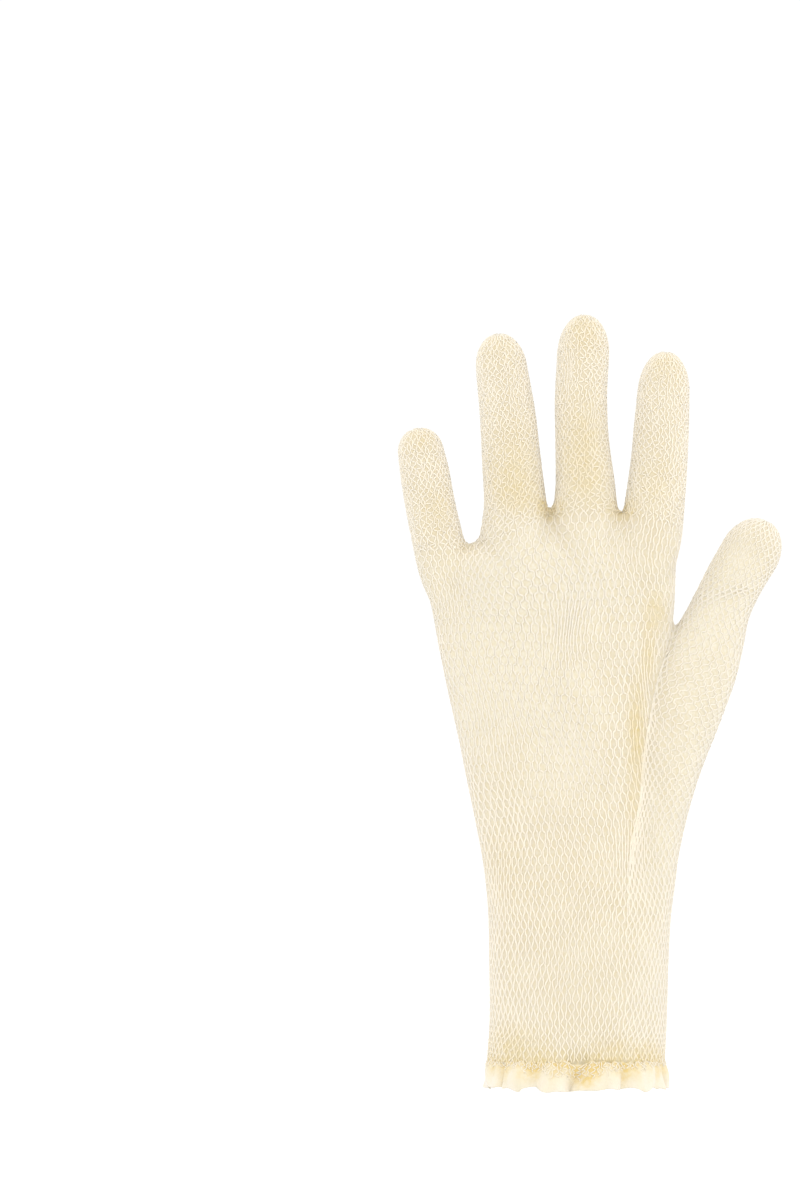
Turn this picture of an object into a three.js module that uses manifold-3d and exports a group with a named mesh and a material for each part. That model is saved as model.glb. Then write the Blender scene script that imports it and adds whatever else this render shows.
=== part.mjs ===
// A cream net glove with a gathered ruffle at the cuff, standing filled out as it is worn.
// Millimetres, +Z towards the fingertips, the thumb towards +X, the back of the hand towards -Y.
// The origin is the centre of the wrist opening, in the plane of the ruffle's hem.
import * as THREE from 'three';
import { mergeVertices } from 'three/addons/utils/BufferGeometryUtils.js';
import Module from 'manifold-3d';

const wasm = await Module();
wasm.setup();

// The cloth's thickness, the seam left open between two pieces, and the height of the sleeve's rim
const WALL = 1.2;
const GAP = 0.3;
const RIM_Z = 10;

// How finely the sections are faceted
const HAND_SIDES = 40;
const THUMB_SIDES = 16;
const FINGER_SIDES = 14;
const DOME_ANGLES = [24, 46, 65, 80];

// How square a section is: 2 is an ellipse, more is fuller at the corners
const HAND_SQUARENESS = 2.4;
const DIGIT_SQUARENESS = 2.1;

// The palm and sleeve, from the rim up: the two edges of each section, and half its depth
const HAND_SECTIONS = [
  { leftX: -30.3, leftZ: RIM_Z, rightX: 30.3, rightZ: RIM_Z, depth: 20.0 },
  { leftX: -29.4, leftZ: 25, rightX: 31.0, rightZ: 25, depth: 19.8 },
  { leftX: -29.6, leftZ: 45, rightX: 31.6, rightZ: 45, depth: 19.2 },
  { leftX: -29.9, leftZ: 60, rightX: 32.5, rightZ: 60, depth: 18.4 },
  { leftX: -31.3, leftZ: 75, rightX: 34.4, rightZ: 75, depth: 17.2 },
  { leftX: -34.0, leftZ: 90, rightX: 35.2, rightZ: 90, depth: 16.0 },
  { leftX: -37.1, leftZ: 105, rightX: 34.4, rightZ: 105, depth: 15.0 },
  { leftX: -40.1, leftZ: 120, rightX: 32.8, rightZ: 120, depth: 14.4 },
  { leftX: -43.5, leftZ: 135, rightX: 31.8, rightZ: 135, depth: 14.0 },
  { leftX: -46.6, leftZ: 150, rightX: 32.2, rightZ: 150, depth: 13.4 },
  { leftX: -49.4, leftZ: 165, rightX: 33.6, rightZ: 165, depth: 12.6 },
  { leftX: -52.6, leftZ: 176, rightX: 34.2, rightZ: 179, depth: 11.4 },
  { leftX: -51.2, leftZ: 181, rightX: 35.2, rightZ: 188, depth: 9.8 },
  { leftX: -41.5, leftZ: 184.0, rightX: 33.0, rightZ: 194, depth: 7.4 },
  { leftX: -24.5, leftZ: 191.2, rightX: 24.4, rightZ: 197.4, depth: 4.4 },
];

// Each digit: the middle of its sections from the root, half their width and depth, and how far
// the digit has curled towards the palm there. The last row is where the round tip begins.
const THUMB = {
  node: 'thumb',
  sides: THUMB_SIDES,
  tipLength: 13.0,
  sections: [
    { x: 21.5, z: 52, half: 7.6, depth: 9.0, curl: 0 },
    { x: 24.0, z: 70, half: 9.2, depth: 12.0, curl: 0 },
    { x: 26.6, z: 88, half: 9.9, depth: 13.6, curl: 0 },
    { x: 30.5, z: 108, half: 11.4, depth: 14.0, curl: 0.3 },
    { x: 36.8, z: 130, half: 13.4, depth: 13.8, curl: 1.2 },
    { x: 43.0, z: 147, half: 13.2, depth: 12.6, curl: 2.6 },
    { x: 46.6, z: 156, half: 11.6, depth: 11.4, curl: 3.6 },
    { x: 49.1, z: 162.7, half: 10.4, depth: 10.2, curl: 4.6 },
    { x: 54.4, z: 173.8, half: 10.1, depth: 9.8, curl: 6.2 },
    { x: 59.5, z: 182.4, half: 10.3, depth: 9.2, curl: 7.4 },
  ],
  base: { leftX: 32.0, leftZ: 160.6, rightX: 59.0, rightZ: 149.2 },
};

const FINGERS = [
  {
    node: 'index_finger',
    sides: FINGER_SIDES,
    tipLength: 14.6,
    sections: [
      { x: 21.6, z: 168, half: 8.6, depth: 8.2, curl: 0 },
      { x: 25.4, z: 188, half: 10.6, depth: 11.0, curl: 0 },
      { x: 26.9, z: 200, half: 10.3, depth: 10.1, curl: 0.2 },
      { x: 28.3, z: 213, half: 9.8, depth: 9.3, curl: 0.9 },
      { x: 29.2, z: 226, half: 9.5, depth: 9.0, curl: 2.0 },
      { x: 29.9, z: 237, half: 9.0, depth: 8.2, curl: 3.4 },
    ],
    base: { leftX: 14.8, leftZ: 199.2, rightX: 40.0, rightZ: 194.4 },
  },
  {
    node: 'middle_finger',
    sides: FINGER_SIDES,
    tipLength: 13.8,
    sections: [
      { x: 2.8, z: 168, half: 9.6, depth: 10.8, curl: 0 },
      { x: 3.2, z: 190, half: 11.5, depth: 11.8, curl: 0 },
      { x: 3.2, z: 205, half: 10.3, depth: 10.2, curl: 0.2 },
      { x: 2.2, z: 220, half: 9.3, depth: 9.3, curl: 1.0 },
      { x: 1.8, z: 236, half: 9.0, depth: 9.2, curl: 2.3 },
      { x: 2.6, z: 250.4, half: 9.0, depth: 8.4, curl: 4.0 },
    ],
    base: { leftX: -9.4, leftZ: 199.3, rightX: 15.9, rightZ: 199.1 },
  },
  {
    node: 'ring_finger',
    sides: FINGER_SIDES,
    tipLength: 12.4,
    sections: [
      { x: -17.6, z: 164, half: 9.6, depth: 10.8, curl: 0 },
      { x: -20.3, z: 186, half: 12.5, depth: 11.4, curl: 0 },
      { x: -20.6, z: 199, half: 10.8, depth: 10.2, curl: 0.2 },
      { x: -21.8, z: 213, half: 10.2, depth: 9.2, curl: 0.9 },
      { x: -23.2, z: 230, half: 9.6, depth: 9.0, curl: 2.2 },
      { x: -25.2, z: 245.4, half: 8.9, depth: 8.2, curl: 3.9 },
    ],
    base: { leftX: -37.0, leftZ: 186.2, rightX: -8.0, rightZ: 199.7 },
  },
  {
    node: 'little_finger',
    sides: FINGER_SIDES,
    tipLength: 8.6,
    sections: [
      { x: -37.6, z: 160, half: 7.0, depth: 7.6, curl: 0 },
      { x: -43.8, z: 175, half: 9.0, depth: 9.4, curl: 0 },
      { x: -47.4, z: 189, half: 8.8, depth: 8.9, curl: 0.2 },
      { x: -49.9, z: 201, half: 8.6, depth: 8.2, curl: 1.0 },
      { x: -51.4, z: 210, half: 8.5, depth: 7.9, curl: 1.9 },
      { x: -52.7, z: 217, half: 8.0, depth: 7.4, curl: 2.8 },
    ],
    base: { leftX: -60.0, leftZ: 186.8, rightX: -35.6, rightZ: 186.4 },
  },
];

// The ruffle hangs from a gather line just under the rim. Each fold's share of the way round,
// how far its crest stands out, and how far its hem is lifted; from the left edge over the back
// of the hand (-Y) to the right edge, and round by the palm side.
const RUFFLE_TOP = RIM_Z - GAP;
const RUFFLE_WALL = 1.1;
const RUFFLE_FLARE = 0.4;
const RUFFLE_ROWS = 5;
const STEPS_PER_FOLD = 8;
// How deep the cloth lies between two folds, and how early a fold opens: below 1 is earlier
const PINCH_DEPTH = 1.2;
const FOLD_OPENING = 0.8;
const FOLDS = [
  { share: 13, crest: 1.3, lift: 0.3 },
  { share: 11, crest: 2.1, lift: 0.0 },
  { share: 9, crest: 1.5, lift: 0.8 },
  { share: 12, crest: 2.4, lift: 0.2 },
  { share: 8, crest: 1.6, lift: 0.9 },
  { share: 11, crest: 2.2, lift: 0.1 },
  { share: 12, crest: 1.5, lift: 0.5 },
  { share: 13, crest: 1.3, lift: 0.2 },
  { share: 10, crest: 2.0, lift: 0.7 },
  { share: 12, crest: 2.3, lift: 0.1 },
  { share: 9, crest: 1.6, lift: 0.6 },
  { share: 11, crest: 2.2, lift: 0.0 },
  { share: 10, crest: 1.7, lift: 0.8 },
  { share: 12, crest: 2.0, lift: 0.3 },
];

// Boxes that part the digits from the hand reach past every section
const CUT_WIDTH = 160;
const CUT_DEPTH = 60;
const CUT_HEIGHT = 120;
// How much wider than a digit it is parted from the hand, so that no sliver of its wall stays
const CUT_CLEARANCE = 0.2;
// How far the hollow reaches below the rim, so that it opens the sleeve cleanly
const HOLLOW_REACH = 5;
// Points of a cut solid that lie nearer than this are one
const WELD = 0.02;

const netCream = new THREE.MeshStandardMaterial({ color: '#f5ebd3', roughness: 0.9, metalness: 0 });
const digitCream = new THREE.MeshStandardMaterial({ color: '#f3e6c6', roughness: 0.9, metalness: 0 });
const ruffleCream = new THREE.MeshStandardMaterial({ color: '#fbf0d2', roughness: 0.9, metalness: 0 });

// Keeps the sign of a cosine or sine while raising its size to a power.
function signedPower(value, power) {
  return Math.sign(value) * Math.abs(value) ** power;
}

// A point on a superellipse, at an angle from the +X end towards -Y.
function superellipse(angle, half, depth, squareness) {
  const power = 2 / squareness;
  return {
    across: half * signedPower(Math.cos(angle), power),
    through: -depth * signedPower(Math.sin(angle), power),
  };
}

// One ring of a loft: its middle, the direction across it, and its half width and depth.
function sectionRing(section, sides, squareness) {
  const ring = [];
  for (let side = 0; side < sides; side += 1) {
    const angle = (2 * Math.PI * side) / sides;
    const point = superellipse(angle, section.half, section.depth, squareness);
    ring.push(section.middle.clone()
      .addScaledVector(section.acrossway, point.across)
      .add(new THREE.Vector3(0, point.through, 0)));
  }
  return ring;
}

// A closed mesh through rings of equal length, with a point that closes each end.
function loft(rings, startPoint, endPoint) {
  const sides = rings[0].length;
  const points = rings.flat().concat([startPoint, endPoint]);
  const start = points.length - 2;
  const end = points.length - 1;
  const last = (rings.length - 1) * sides;
  const index = [];
  for (let side = 0; side < sides; side += 1) {
    const next = (side + 1) % sides;
    index.push(start, side, next);
    for (let row = 0; row < last; row += sides) {
      index.push(row + side, row + sides + next, row + next);
      index.push(row + side, row + sides + side, row + sides + next);
    }
    index.push(last + side, end, last + next);
  }
  return new THREE.BufferGeometry().setFromPoints(points).setIndex(index);
}

// A closed geometry as a solid that can be joined and cut.
function toSolid(geometry) {
  return new wasm.Manifold(new wasm.Mesh({
    numProp: 3,
    vertProperties: new Float32Array(geometry.attributes.position.array),
    triVerts: new Uint32Array(geometry.index.array),
  }));
}

// A geometry whose points nearer than the weld distance are one, without the faces that closes.
function welded(geometry) {
  const merged = mergeVertices(geometry, WELD);
  const corners = Array.from(merged.index.array);
  const kept = [];
  for (let corner = 0; corner < corners.length; corner += 3) {
    const [a, b, c] = corners.slice(corner, corner + 3);
    if (a !== b && b !== c && c !== a) {
      kept.push(a, b, c);
    }
  }
  return merged.setIndex(kept);
}

// A solid back as a geometry for a mesh.
function toGeometry(solid) {
  const mesh = solid.getMesh();
  const geometry = new THREE.BufferGeometry();
  geometry.setAttribute('position', new THREE.BufferAttribute(new Float32Array(mesh.vertProperties), 3));
  geometry.setIndex(new THREE.BufferAttribute(new Uint32Array(mesh.triVerts), 1));
  return welded(geometry);
}

// The palm and sleeve as a solid, larger by margin all round and longer by reach at the rim.
function handForm(margin, reach) {
  const rings = HAND_SECTIONS.map((row, level) => {
    const left = new THREE.Vector3(row.leftX, 0, row.leftZ);
    const right = new THREE.Vector3(row.rightX, 0, row.rightZ);
    const drop = level === 0 ? reach : 0;
    return sectionRing({
      middle: left.clone().add(right).multiplyScalar(0.5).setZ((row.leftZ + row.rightZ) / 2 - drop),
      acrossway: right.clone().sub(left).normalize(),
      half: left.distanceTo(right) / 2 + margin,
      depth: row.depth + margin,
    }, HAND_SIDES, HAND_SQUARENESS);
  });
  const top = HAND_SECTIONS.at(-1);
  const startPoint = new THREE.Vector3(0, 0, RIM_Z - reach);
  const endPoint = new THREE.Vector3((top.leftX + top.rightX) / 2, 0, (top.leftZ + top.rightZ) / 2 + margin);
  return toSolid(loft(rings, startPoint, endPoint));
}

// The direction in which a digit runs at one of its sections, seen from the front.
function runsTowards(sections, place) {
  const before = sections[Math.max(place - 1, 0)];
  const after = sections[Math.min(place + 1, sections.length - 1)];
  return new THREE.Vector3(after.x - before.x, 0, after.z - before.z).normalize();
}

// A digit as a solid with a round tip, larger by margin all round.
function digitForm(digit, margin) {
  const frames = digit.sections.map((row, place) => {
    const along = runsTowards(digit.sections, place);
    return {
      along,
      middle: new THREE.Vector3(row.x, row.curl, row.z),
      acrossway: new THREE.Vector3(along.z, 0, -along.x),
      half: row.half + margin,
      depth: row.depth + margin,
    };
  });
  const last = frames.at(-1);
  const tipLength = digit.tipLength + margin;
  for (const degrees of DOME_ANGLES) {
    const angle = THREE.MathUtils.degToRad(degrees);
    frames.push({
      ...last,
      middle: last.middle.clone().addScaledVector(last.along, tipLength * Math.sin(angle)),
      half: last.half * Math.cos(angle),
      depth: last.depth * Math.cos(angle),
    });
  }
  const rings = frames.map((frame) => sectionRing(frame, digit.sides, DIGIT_SQUARENESS));
  const tip = last.middle.clone().addScaledVector(last.along, tipLength);
  return toSolid(loft(rings, frames[0].middle.clone(), tip));
}

// Everything above a digit's base line, lowered by drop: a box whose bottom lies on the line.
function aboveBase(base, drop) {
  const left = new THREE.Vector3(base.leftX, 0, base.leftZ);
  const right = new THREE.Vector3(base.rightX, 0, base.rightZ);
  const along = right.clone().sub(left);
  const box = new THREE.BoxGeometry(CUT_WIDTH, CUT_DEPTH, CUT_HEIGHT);
  box.translate(0, 0, CUT_HEIGHT / 2 - drop);
  box.rotateY(-Math.atan2(along.z, along.x));
  const middle = left.add(right).multiplyScalar(0.5);
  box.translate(middle.x, 0, middle.z);
  return toSolid(mergeVertices(box.deleteAttribute('normal').deleteAttribute('uv')));
}

// Joins a list of solids into one.
function joined(solids) {
  return solids.reduce((whole, solid) => whole.add(solid));
}

// The largest of the separate bodies in a solid.
function largestBody(solid) {
  return solid.decompose().sort((a, b) => b.volume() - a.volume())[0];
}

// How far a point of the ruffle stands out and is lifted, at a share of the way round.
function foldAt(turn) {
  const whole = FOLDS.reduce((sum, fold) => sum + fold.share, 0);
  let passed = 0;
  for (const fold of FOLDS) {
    const within = (turn * whole - passed) / fold.share;
    if (within < 1) {
      const swell = (1 - Math.cos(2 * Math.PI * within)) / 2;
      return {
        out: (fold.crest + PINCH_DEPTH) * swell - PINCH_DEPTH,
        lift: fold.lift * swell,
      };
    }
    passed += fold.share;
  }
  return { out: -PINCH_DEPTH, lift: 0 };
}

// The ruffle: a band round the rim whose folds open from the gather line to the hem.
function ruffleGeometry() {
  const rim = HAND_SECTIONS[0];
  const steps = FOLDS.length * STEPS_PER_FOLD;
  const faces = [-RUFFLE_WALL / 2, RUFFLE_WALL / 2];
  const pointAt = (step, row, offset) => {
    const fall = row / (RUFFLE_ROWS - 1);
    const angle = Math.PI - (2 * Math.PI * step) / steps;
    const fold = foldAt(step / steps);
    const out = fall * RUFFLE_FLARE + fall ** FOLD_OPENING * fold.out + offset - WALL / 2;
    const point = superellipse(angle, rim.rightX + out, rim.depth + out, HAND_SQUARENESS);
    return new THREE.Vector3(point.across, point.through, RUFFLE_TOP - fall * (RUFFLE_TOP - fold.lift));
  };
  const points = [];
  for (const offset of faces) {
    for (let row = 0; row < RUFFLE_ROWS; row += 1) {
      for (let step = 0; step < steps; step += 1) {
        points.push(pointAt(step, row, offset));
      }
    }
  }
  const outer = RUFFLE_ROWS * steps;
  const index = [];
  for (let step = 0; step < steps; step += 1) {
    const next = (step + 1) % steps;
    for (let row = 0; row < RUFFLE_ROWS - 1; row += 1) {
      const [a, b] = [row * steps + step, row * steps + next];
      const [c, d] = [a + steps, b + steps];
      index.push(a, b, c, b, d, c);
      index.push(outer + a, outer + c, outer + b, outer + b, outer + c, outer + d);
    }
    const hem = (RUFFLE_ROWS - 1) * steps;
    index.push(step, outer + step, next, next, outer + step, outer + next);
    index.push(hem + step, hem + next, outer + hem + step);
    index.push(hem + next, outer + hem + next, outer + hem + step);
  }
  return new THREE.BufferGeometry().setFromPoints(points).setIndex(index);
}

// Puts one named piece into the glove.
function addPiece(glove, name, geometry, material) {
  const mesh = new THREE.Mesh(geometry, material);
  mesh.name = name;
  glove.add(mesh);
}

const digits = [THUMB, ...FINGERS];
const hollow = joined([handForm(-WALL, HOLLOW_REACH), ...digits.map((digit) => digitForm(digit, -WALL))]);
const outside = joined([handForm(0, 0), ...digits.map((digit) => digitForm(digit, 0))]);
const cuts = digits.map((digit) => digitForm(digit, CUT_CLEARANCE).intersect(aboveBase(digit.base, GAP)));

const glove = new THREE.Group();
glove.name = 'net_glove';
addPiece(glove, 'hand', toGeometry(largestBody(outside.subtract(hollow).subtract(joined(cuts)))), netCream);
for (const digit of digits) {
  const tube = digitForm(digit, 0).subtract(hollow).intersect(aboveBase(digit.base, 0));
  addPiece(glove, digit.node, toGeometry(largestBody(tube)), digitCream);
}
addPiece(glove, 'cuff_ruffle', ruffleGeometry(), ruffleCream);

export default glove;
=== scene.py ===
"""Cream net glove with a gathered ruffle at the cuff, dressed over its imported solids.

The glove stands filled out as it is worn. Tables are in millimetres, +Z runs to the fingertips,
the thumb is towards +X and the back of the hand faces the camera at -Y. Every mesh is in metres.
"""

import logging
import math
from dataclasses import dataclass, field
from enum import Enum

import bmesh
import bpy
import numpy as np
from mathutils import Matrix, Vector


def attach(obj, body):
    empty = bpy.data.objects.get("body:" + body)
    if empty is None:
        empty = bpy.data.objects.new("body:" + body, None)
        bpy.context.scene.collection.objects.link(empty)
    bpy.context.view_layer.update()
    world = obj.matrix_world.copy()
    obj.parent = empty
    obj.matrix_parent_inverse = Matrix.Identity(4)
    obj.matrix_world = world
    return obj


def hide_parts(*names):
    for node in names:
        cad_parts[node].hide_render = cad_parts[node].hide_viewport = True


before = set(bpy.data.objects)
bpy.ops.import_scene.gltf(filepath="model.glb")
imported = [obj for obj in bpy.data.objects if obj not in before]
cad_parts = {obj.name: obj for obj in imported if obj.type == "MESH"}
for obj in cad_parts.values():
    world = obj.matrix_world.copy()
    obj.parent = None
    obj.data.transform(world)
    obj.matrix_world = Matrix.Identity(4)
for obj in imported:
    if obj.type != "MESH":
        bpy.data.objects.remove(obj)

LOG = logging.getLogger("net_glove")
MM = 0.001
# The least length that a direction is divided by
TINY = 1e-9

Array = np.ndarray


class Wall(Enum):
    """The names of the record's slots for the net's knit and the ruffle's knit."""

    NET = "net_knit"
    RUFFLE = "ruffle_knit"


def signed_power(value: Array, power: float) -> Array:
    """Raises the size of a number to a power and keeps its sign."""
    return np.sign(value) * np.abs(value) ** power


def superellipse(angle: Array, squareness: float) -> tuple[Array, Array]:
    """Gives the places across and through: cosine and sine, to the power 2 by the squareness."""
    power = 2 / squareness
    return signed_power(np.cos(angle), power), signed_power(np.sin(angle), power)


def unit(directions: Array) -> Array:
    """Scales directions, whose parts lie on the last axis, to length 1."""
    return directions / np.maximum(np.linalg.norm(directions, axis=-1, keepdims=True), TINY)


def straight(table: Array, at: Array | float) -> Array:
    """Reads a table of keys and values, straight from row to row."""
    return np.interp(at, table[:, 0], table[:, 1])


def eased(keys: Array, rows: Array, at: Array) -> Array:
    """Reads a table between its rows.

    Formula: between two rows a cubic, which passes through both and has at each the slope that
    its neighbours give it.

    Args:
        keys: The rising key of each row.
        rows: One value, or one row of values, for each key.
        at: The keys wanted, held inside the table.

    Returns:
        The values there, with the shape of at and any further axis of rows.
    """
    keys = np.asarray(keys, float)
    rows = np.asarray(rows, float)
    slopes = np.gradient(rows, keys, axis=0)
    held = np.clip(np.asarray(at, float), keys[0], keys[-1])
    place = np.clip(np.searchsorted(keys, held, side="right") - 1, 0, len(keys) - 2)
    span = keys[place + 1] - keys[place]
    u = (held - keys[place]) / span
    if rows.ndim > 1:
        u, span = u[..., None], span[..., None]
    start = (1 + 2 * u) * (1 - u) ** 2 * rows[place] + u * (1 - u) ** 2 * span * slopes[place]
    end = u**2 * (3 - 2 * u) * rows[place + 1] + u**2 * (u - 1) * span * slopes[place + 1]
    return start + end


def smooth_step(low: float, high: float, at: Array) -> Array:
    """Rises from 0 at low to 1 at high, level at both ends."""
    u = np.clip((np.asarray(at, float) - low) / (high - low), 0, 1)
    return u * u * (3 - 2 * u)


def evenly(path: Array, count: int) -> Array:
    """Spaces points evenly along a path.

    Args:
        path: Points in order, shape (n, 3).
        count: How many points to give back, both ends among them.

    Returns:
        The points, shape (count, 3).
    """
    lengths = np.concatenate([[0.0], np.cumsum(np.linalg.norm(np.diff(path, axis=0), axis=1))])
    wanted = np.linspace(0, lengths[-1], count)
    return np.stack([np.interp(wanted, lengths, path[:, axis]) for axis in range(3)], axis=1)


# The palm and sleeve from the rim up: left edge x, z, right edge x, z, and half the depth
HAND_SECTIONS = np.array([
    [-30.3, 10, 30.3, 10, 20.0],
    [-29.4, 25, 31.0, 25, 19.8],
    [-29.6, 45, 31.6, 45, 19.2],
    [-29.9, 60, 32.5, 60, 18.4],
    [-31.3, 75, 34.4, 75, 17.2],
    [-34.0, 90, 35.2, 90, 16.0],
    [-37.1, 105, 34.4, 105, 15.0],
    [-40.1, 120, 32.8, 120, 14.4],
    [-43.5, 135, 31.8, 135, 14.0],
    [-46.6, 150, 32.2, 150, 13.4],
    [-49.4, 165, 33.6, 165, 12.6],
    [-52.6, 176, 34.2, 179, 11.4],
    [-51.2, 181, 35.2, 188, 9.8],
    [-41.5, 184.0, 33.0, 194, 7.4],
    [-24.5, 191.2, 24.4, 197.4, 4.4],
])
HAND_SQUARENESS = 2.4
DIGIT_SQUARENESS = 2.1
RIM_Z = 10.0
CROTCH_Z = 157.1
# The palm's left and right edge above the thumb's parting: z, x
UPPER_LEFT = np.array([[150, -46.6], [165, -49.4], [176, -52.6], [187, -55.3]])
UPPER_RIGHT = np.array([[157, 33.2], [165, 33.6], [179, 34.2], [195, 37.0]])
# The line through the finger crotches, where the fingers' nets begin: x, z
KNUCKLE_LINE = np.array([[-57, 184.9], [-36.4, 184.2], [-8.8, 197.2], [15.3, 196.9], [37, 193.2]])


@dataclass
class Digit:
    """A finger or the thumb: a tube with a round tip, out of the hand."""

    name: str
    # middle x, z, half the width, half the depth, and how far it has curled towards the palm
    sections: Array
    tip_length: float
    # threads round the digit's net, and the distance from one course of knots to the next
    lines: int
    course: float
    # places along the digit that are looked at for its run, for a height and for a crossing
    run_samples: int = 200
    height_samples: int = 300
    crossing_samples: int = 400
    # the share of the length in which every height is met once
    rising_share: float = 0.8

    def __post_init__(self) -> None:
        """Measures along the digit, and notes which way it runs at each step."""
        steps = np.hypot(*np.diff(self.sections[:, :2], axis=0).T)
        self.keys = np.concatenate([[0.0], np.cumsum(steps)])
        self.body = float(self.keys[-1])
        self.length = self.body + self.tip_length
        self._fine = np.linspace(0, self.body, self.run_samples)
        middles = eased(self.keys, self.sections[:, :2], self._fine)
        self._run = unit(np.gradient(middles, self._fine, axis=0))

    def surface(self, along: Array, angle: Array) -> Array:
        """Gives points on the digit.

        Formula: the table's superellipse at each length along the body; past the body its size
        falls as the square root of 1 minus the square of the share of the tip that is passed.

        Args:
            along: Millimetres from the digit's root.
            angle: Radians from the digit's right side towards the back of the hand.

        Returns:
            The points in millimetres, with a last axis of x, y, z.
        """
        along, angle = np.broadcast_arrays(np.asarray(along, float), np.asarray(angle, float))
        row = eased(self.keys, self.sections, along)
        past = np.clip(along - self.body, 0, self.tip_length)
        scale = np.sqrt(np.clip(1 - (past / self.tip_length) ** 2, 0, 1))
        run_x = np.interp(along, self._fine, self._run[:, 0])
        run_z = np.interp(along, self._fine, self._run[:, 1])
        across, through = superellipse(angle, DIGIT_SQUARENESS)
        across = row[..., 2] * scale * across
        through = row[..., 3] * scale * through
        return np.stack([
            row[..., 0] + past * run_x + across * run_z,
            row[..., 4] - through,
            row[..., 1] + past * run_z - across * run_x,
        ], axis=-1)

    def reached(self, z: float) -> float:
        """Gives how far along the digit its left side reaches a height."""
        fine = np.linspace(0, self.length * self.rising_share, self.height_samples)
        return float(np.interp(z, self.surface(fine, math.pi)[:, 2], fine))

    def start_of_net(self, angle: Array) -> Array:
        """Gives how far along the digit the knuckle line crosses it.

        Formula: where the line crosses the digit's left and right side, and between the two the
        blend by the cosine of the angle.

        Args:
            angle: Radians from the digit's right side towards the back of the hand.

        Returns:
            Millimetres from the digit's root, one for each angle.
        """
        fine = np.linspace(0, self.length, self.crossing_samples)
        crossings = []
        for side in (math.pi, 0.0):
            edge = self.surface(fine, side)
            crossings.append(fine[int(np.argmax(edge[:, 2] > knuckle_line(edge[:, 0])))])
        share = (1 + np.cos(angle)) / 2
        return crossings[0] * (1 - share) + crossings[1] * share


THUMB = Digit("thumb", np.array([
    [21.5, 52, 7.6, 9.0, 0],
    [24.0, 70, 9.2, 12.0, 0],
    [26.6, 88, 9.9, 13.6, 0],
    [30.5, 108, 11.4, 14.0, 0.3],
    [36.8, 130, 13.4, 13.8, 1.2],
    [43.0, 147, 13.2, 12.6, 2.6],
    [46.6, 156, 11.6, 11.4, 3.6],
    [49.1, 162.7, 10.4, 10.2, 4.6],
    [54.4, 173.8, 10.1, 9.8, 6.2],
    [59.5, 182.4, 10.3, 9.2, 7.4],
]), 13.0, 56, 1.9)

FINGERS = [
    Digit("index_finger", np.array([
        [21.6, 168, 8.6, 8.2, 0],
        [25.4, 188, 10.6, 11.0, 0],
        [26.9, 200, 10.3, 10.1, 0.2],
        [28.3, 213, 9.8, 9.3, 0.9],
        [29.2, 226, 9.5, 9.0, 2.0],
        [29.9, 237, 9.0, 8.2, 3.4],
    ]), 14.6, 52, 1.4),
    Digit("middle_finger", np.array([
        [2.8, 168, 9.6, 10.8, 0],
        [3.2, 190, 11.5, 11.8, 0],
        [3.2, 205, 10.3, 10.2, 0.2],
        [2.2, 220, 9.3, 9.3, 1.0],
        [1.8, 236, 9.0, 9.2, 2.3],
        [2.6, 250.4, 9.0, 8.4, 4.0],
    ]), 13.8, 52, 1.4),
    Digit("ring_finger", np.array([
        [-17.6, 164, 9.6, 10.8, 0],
        [-20.3, 186, 12.5, 11.4, 0],
        [-20.6, 199, 10.8, 10.2, 0.2],
        [-21.8, 213, 10.2, 9.2, 0.9],
        [-23.2, 230, 9.6, 9.0, 2.2],
        [-25.2, 245.4, 8.9, 8.2, 3.9],
    ]), 12.4, 52, 1.4),
    Digit("little_finger", np.array([
        [-37.6, 160, 7.0, 7.6, 0],
        [-43.8, 175, 9.0, 9.4, 0],
        [-47.4, 189, 8.8, 8.9, 0.2],
        [-49.9, 201, 8.6, 8.2, 1.0],
        [-51.4, 210, 8.5, 7.9, 1.9],
        [-52.7, 217, 8.0, 7.4, 2.8],
    ]), 8.6, 48, 1.4),
]

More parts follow.
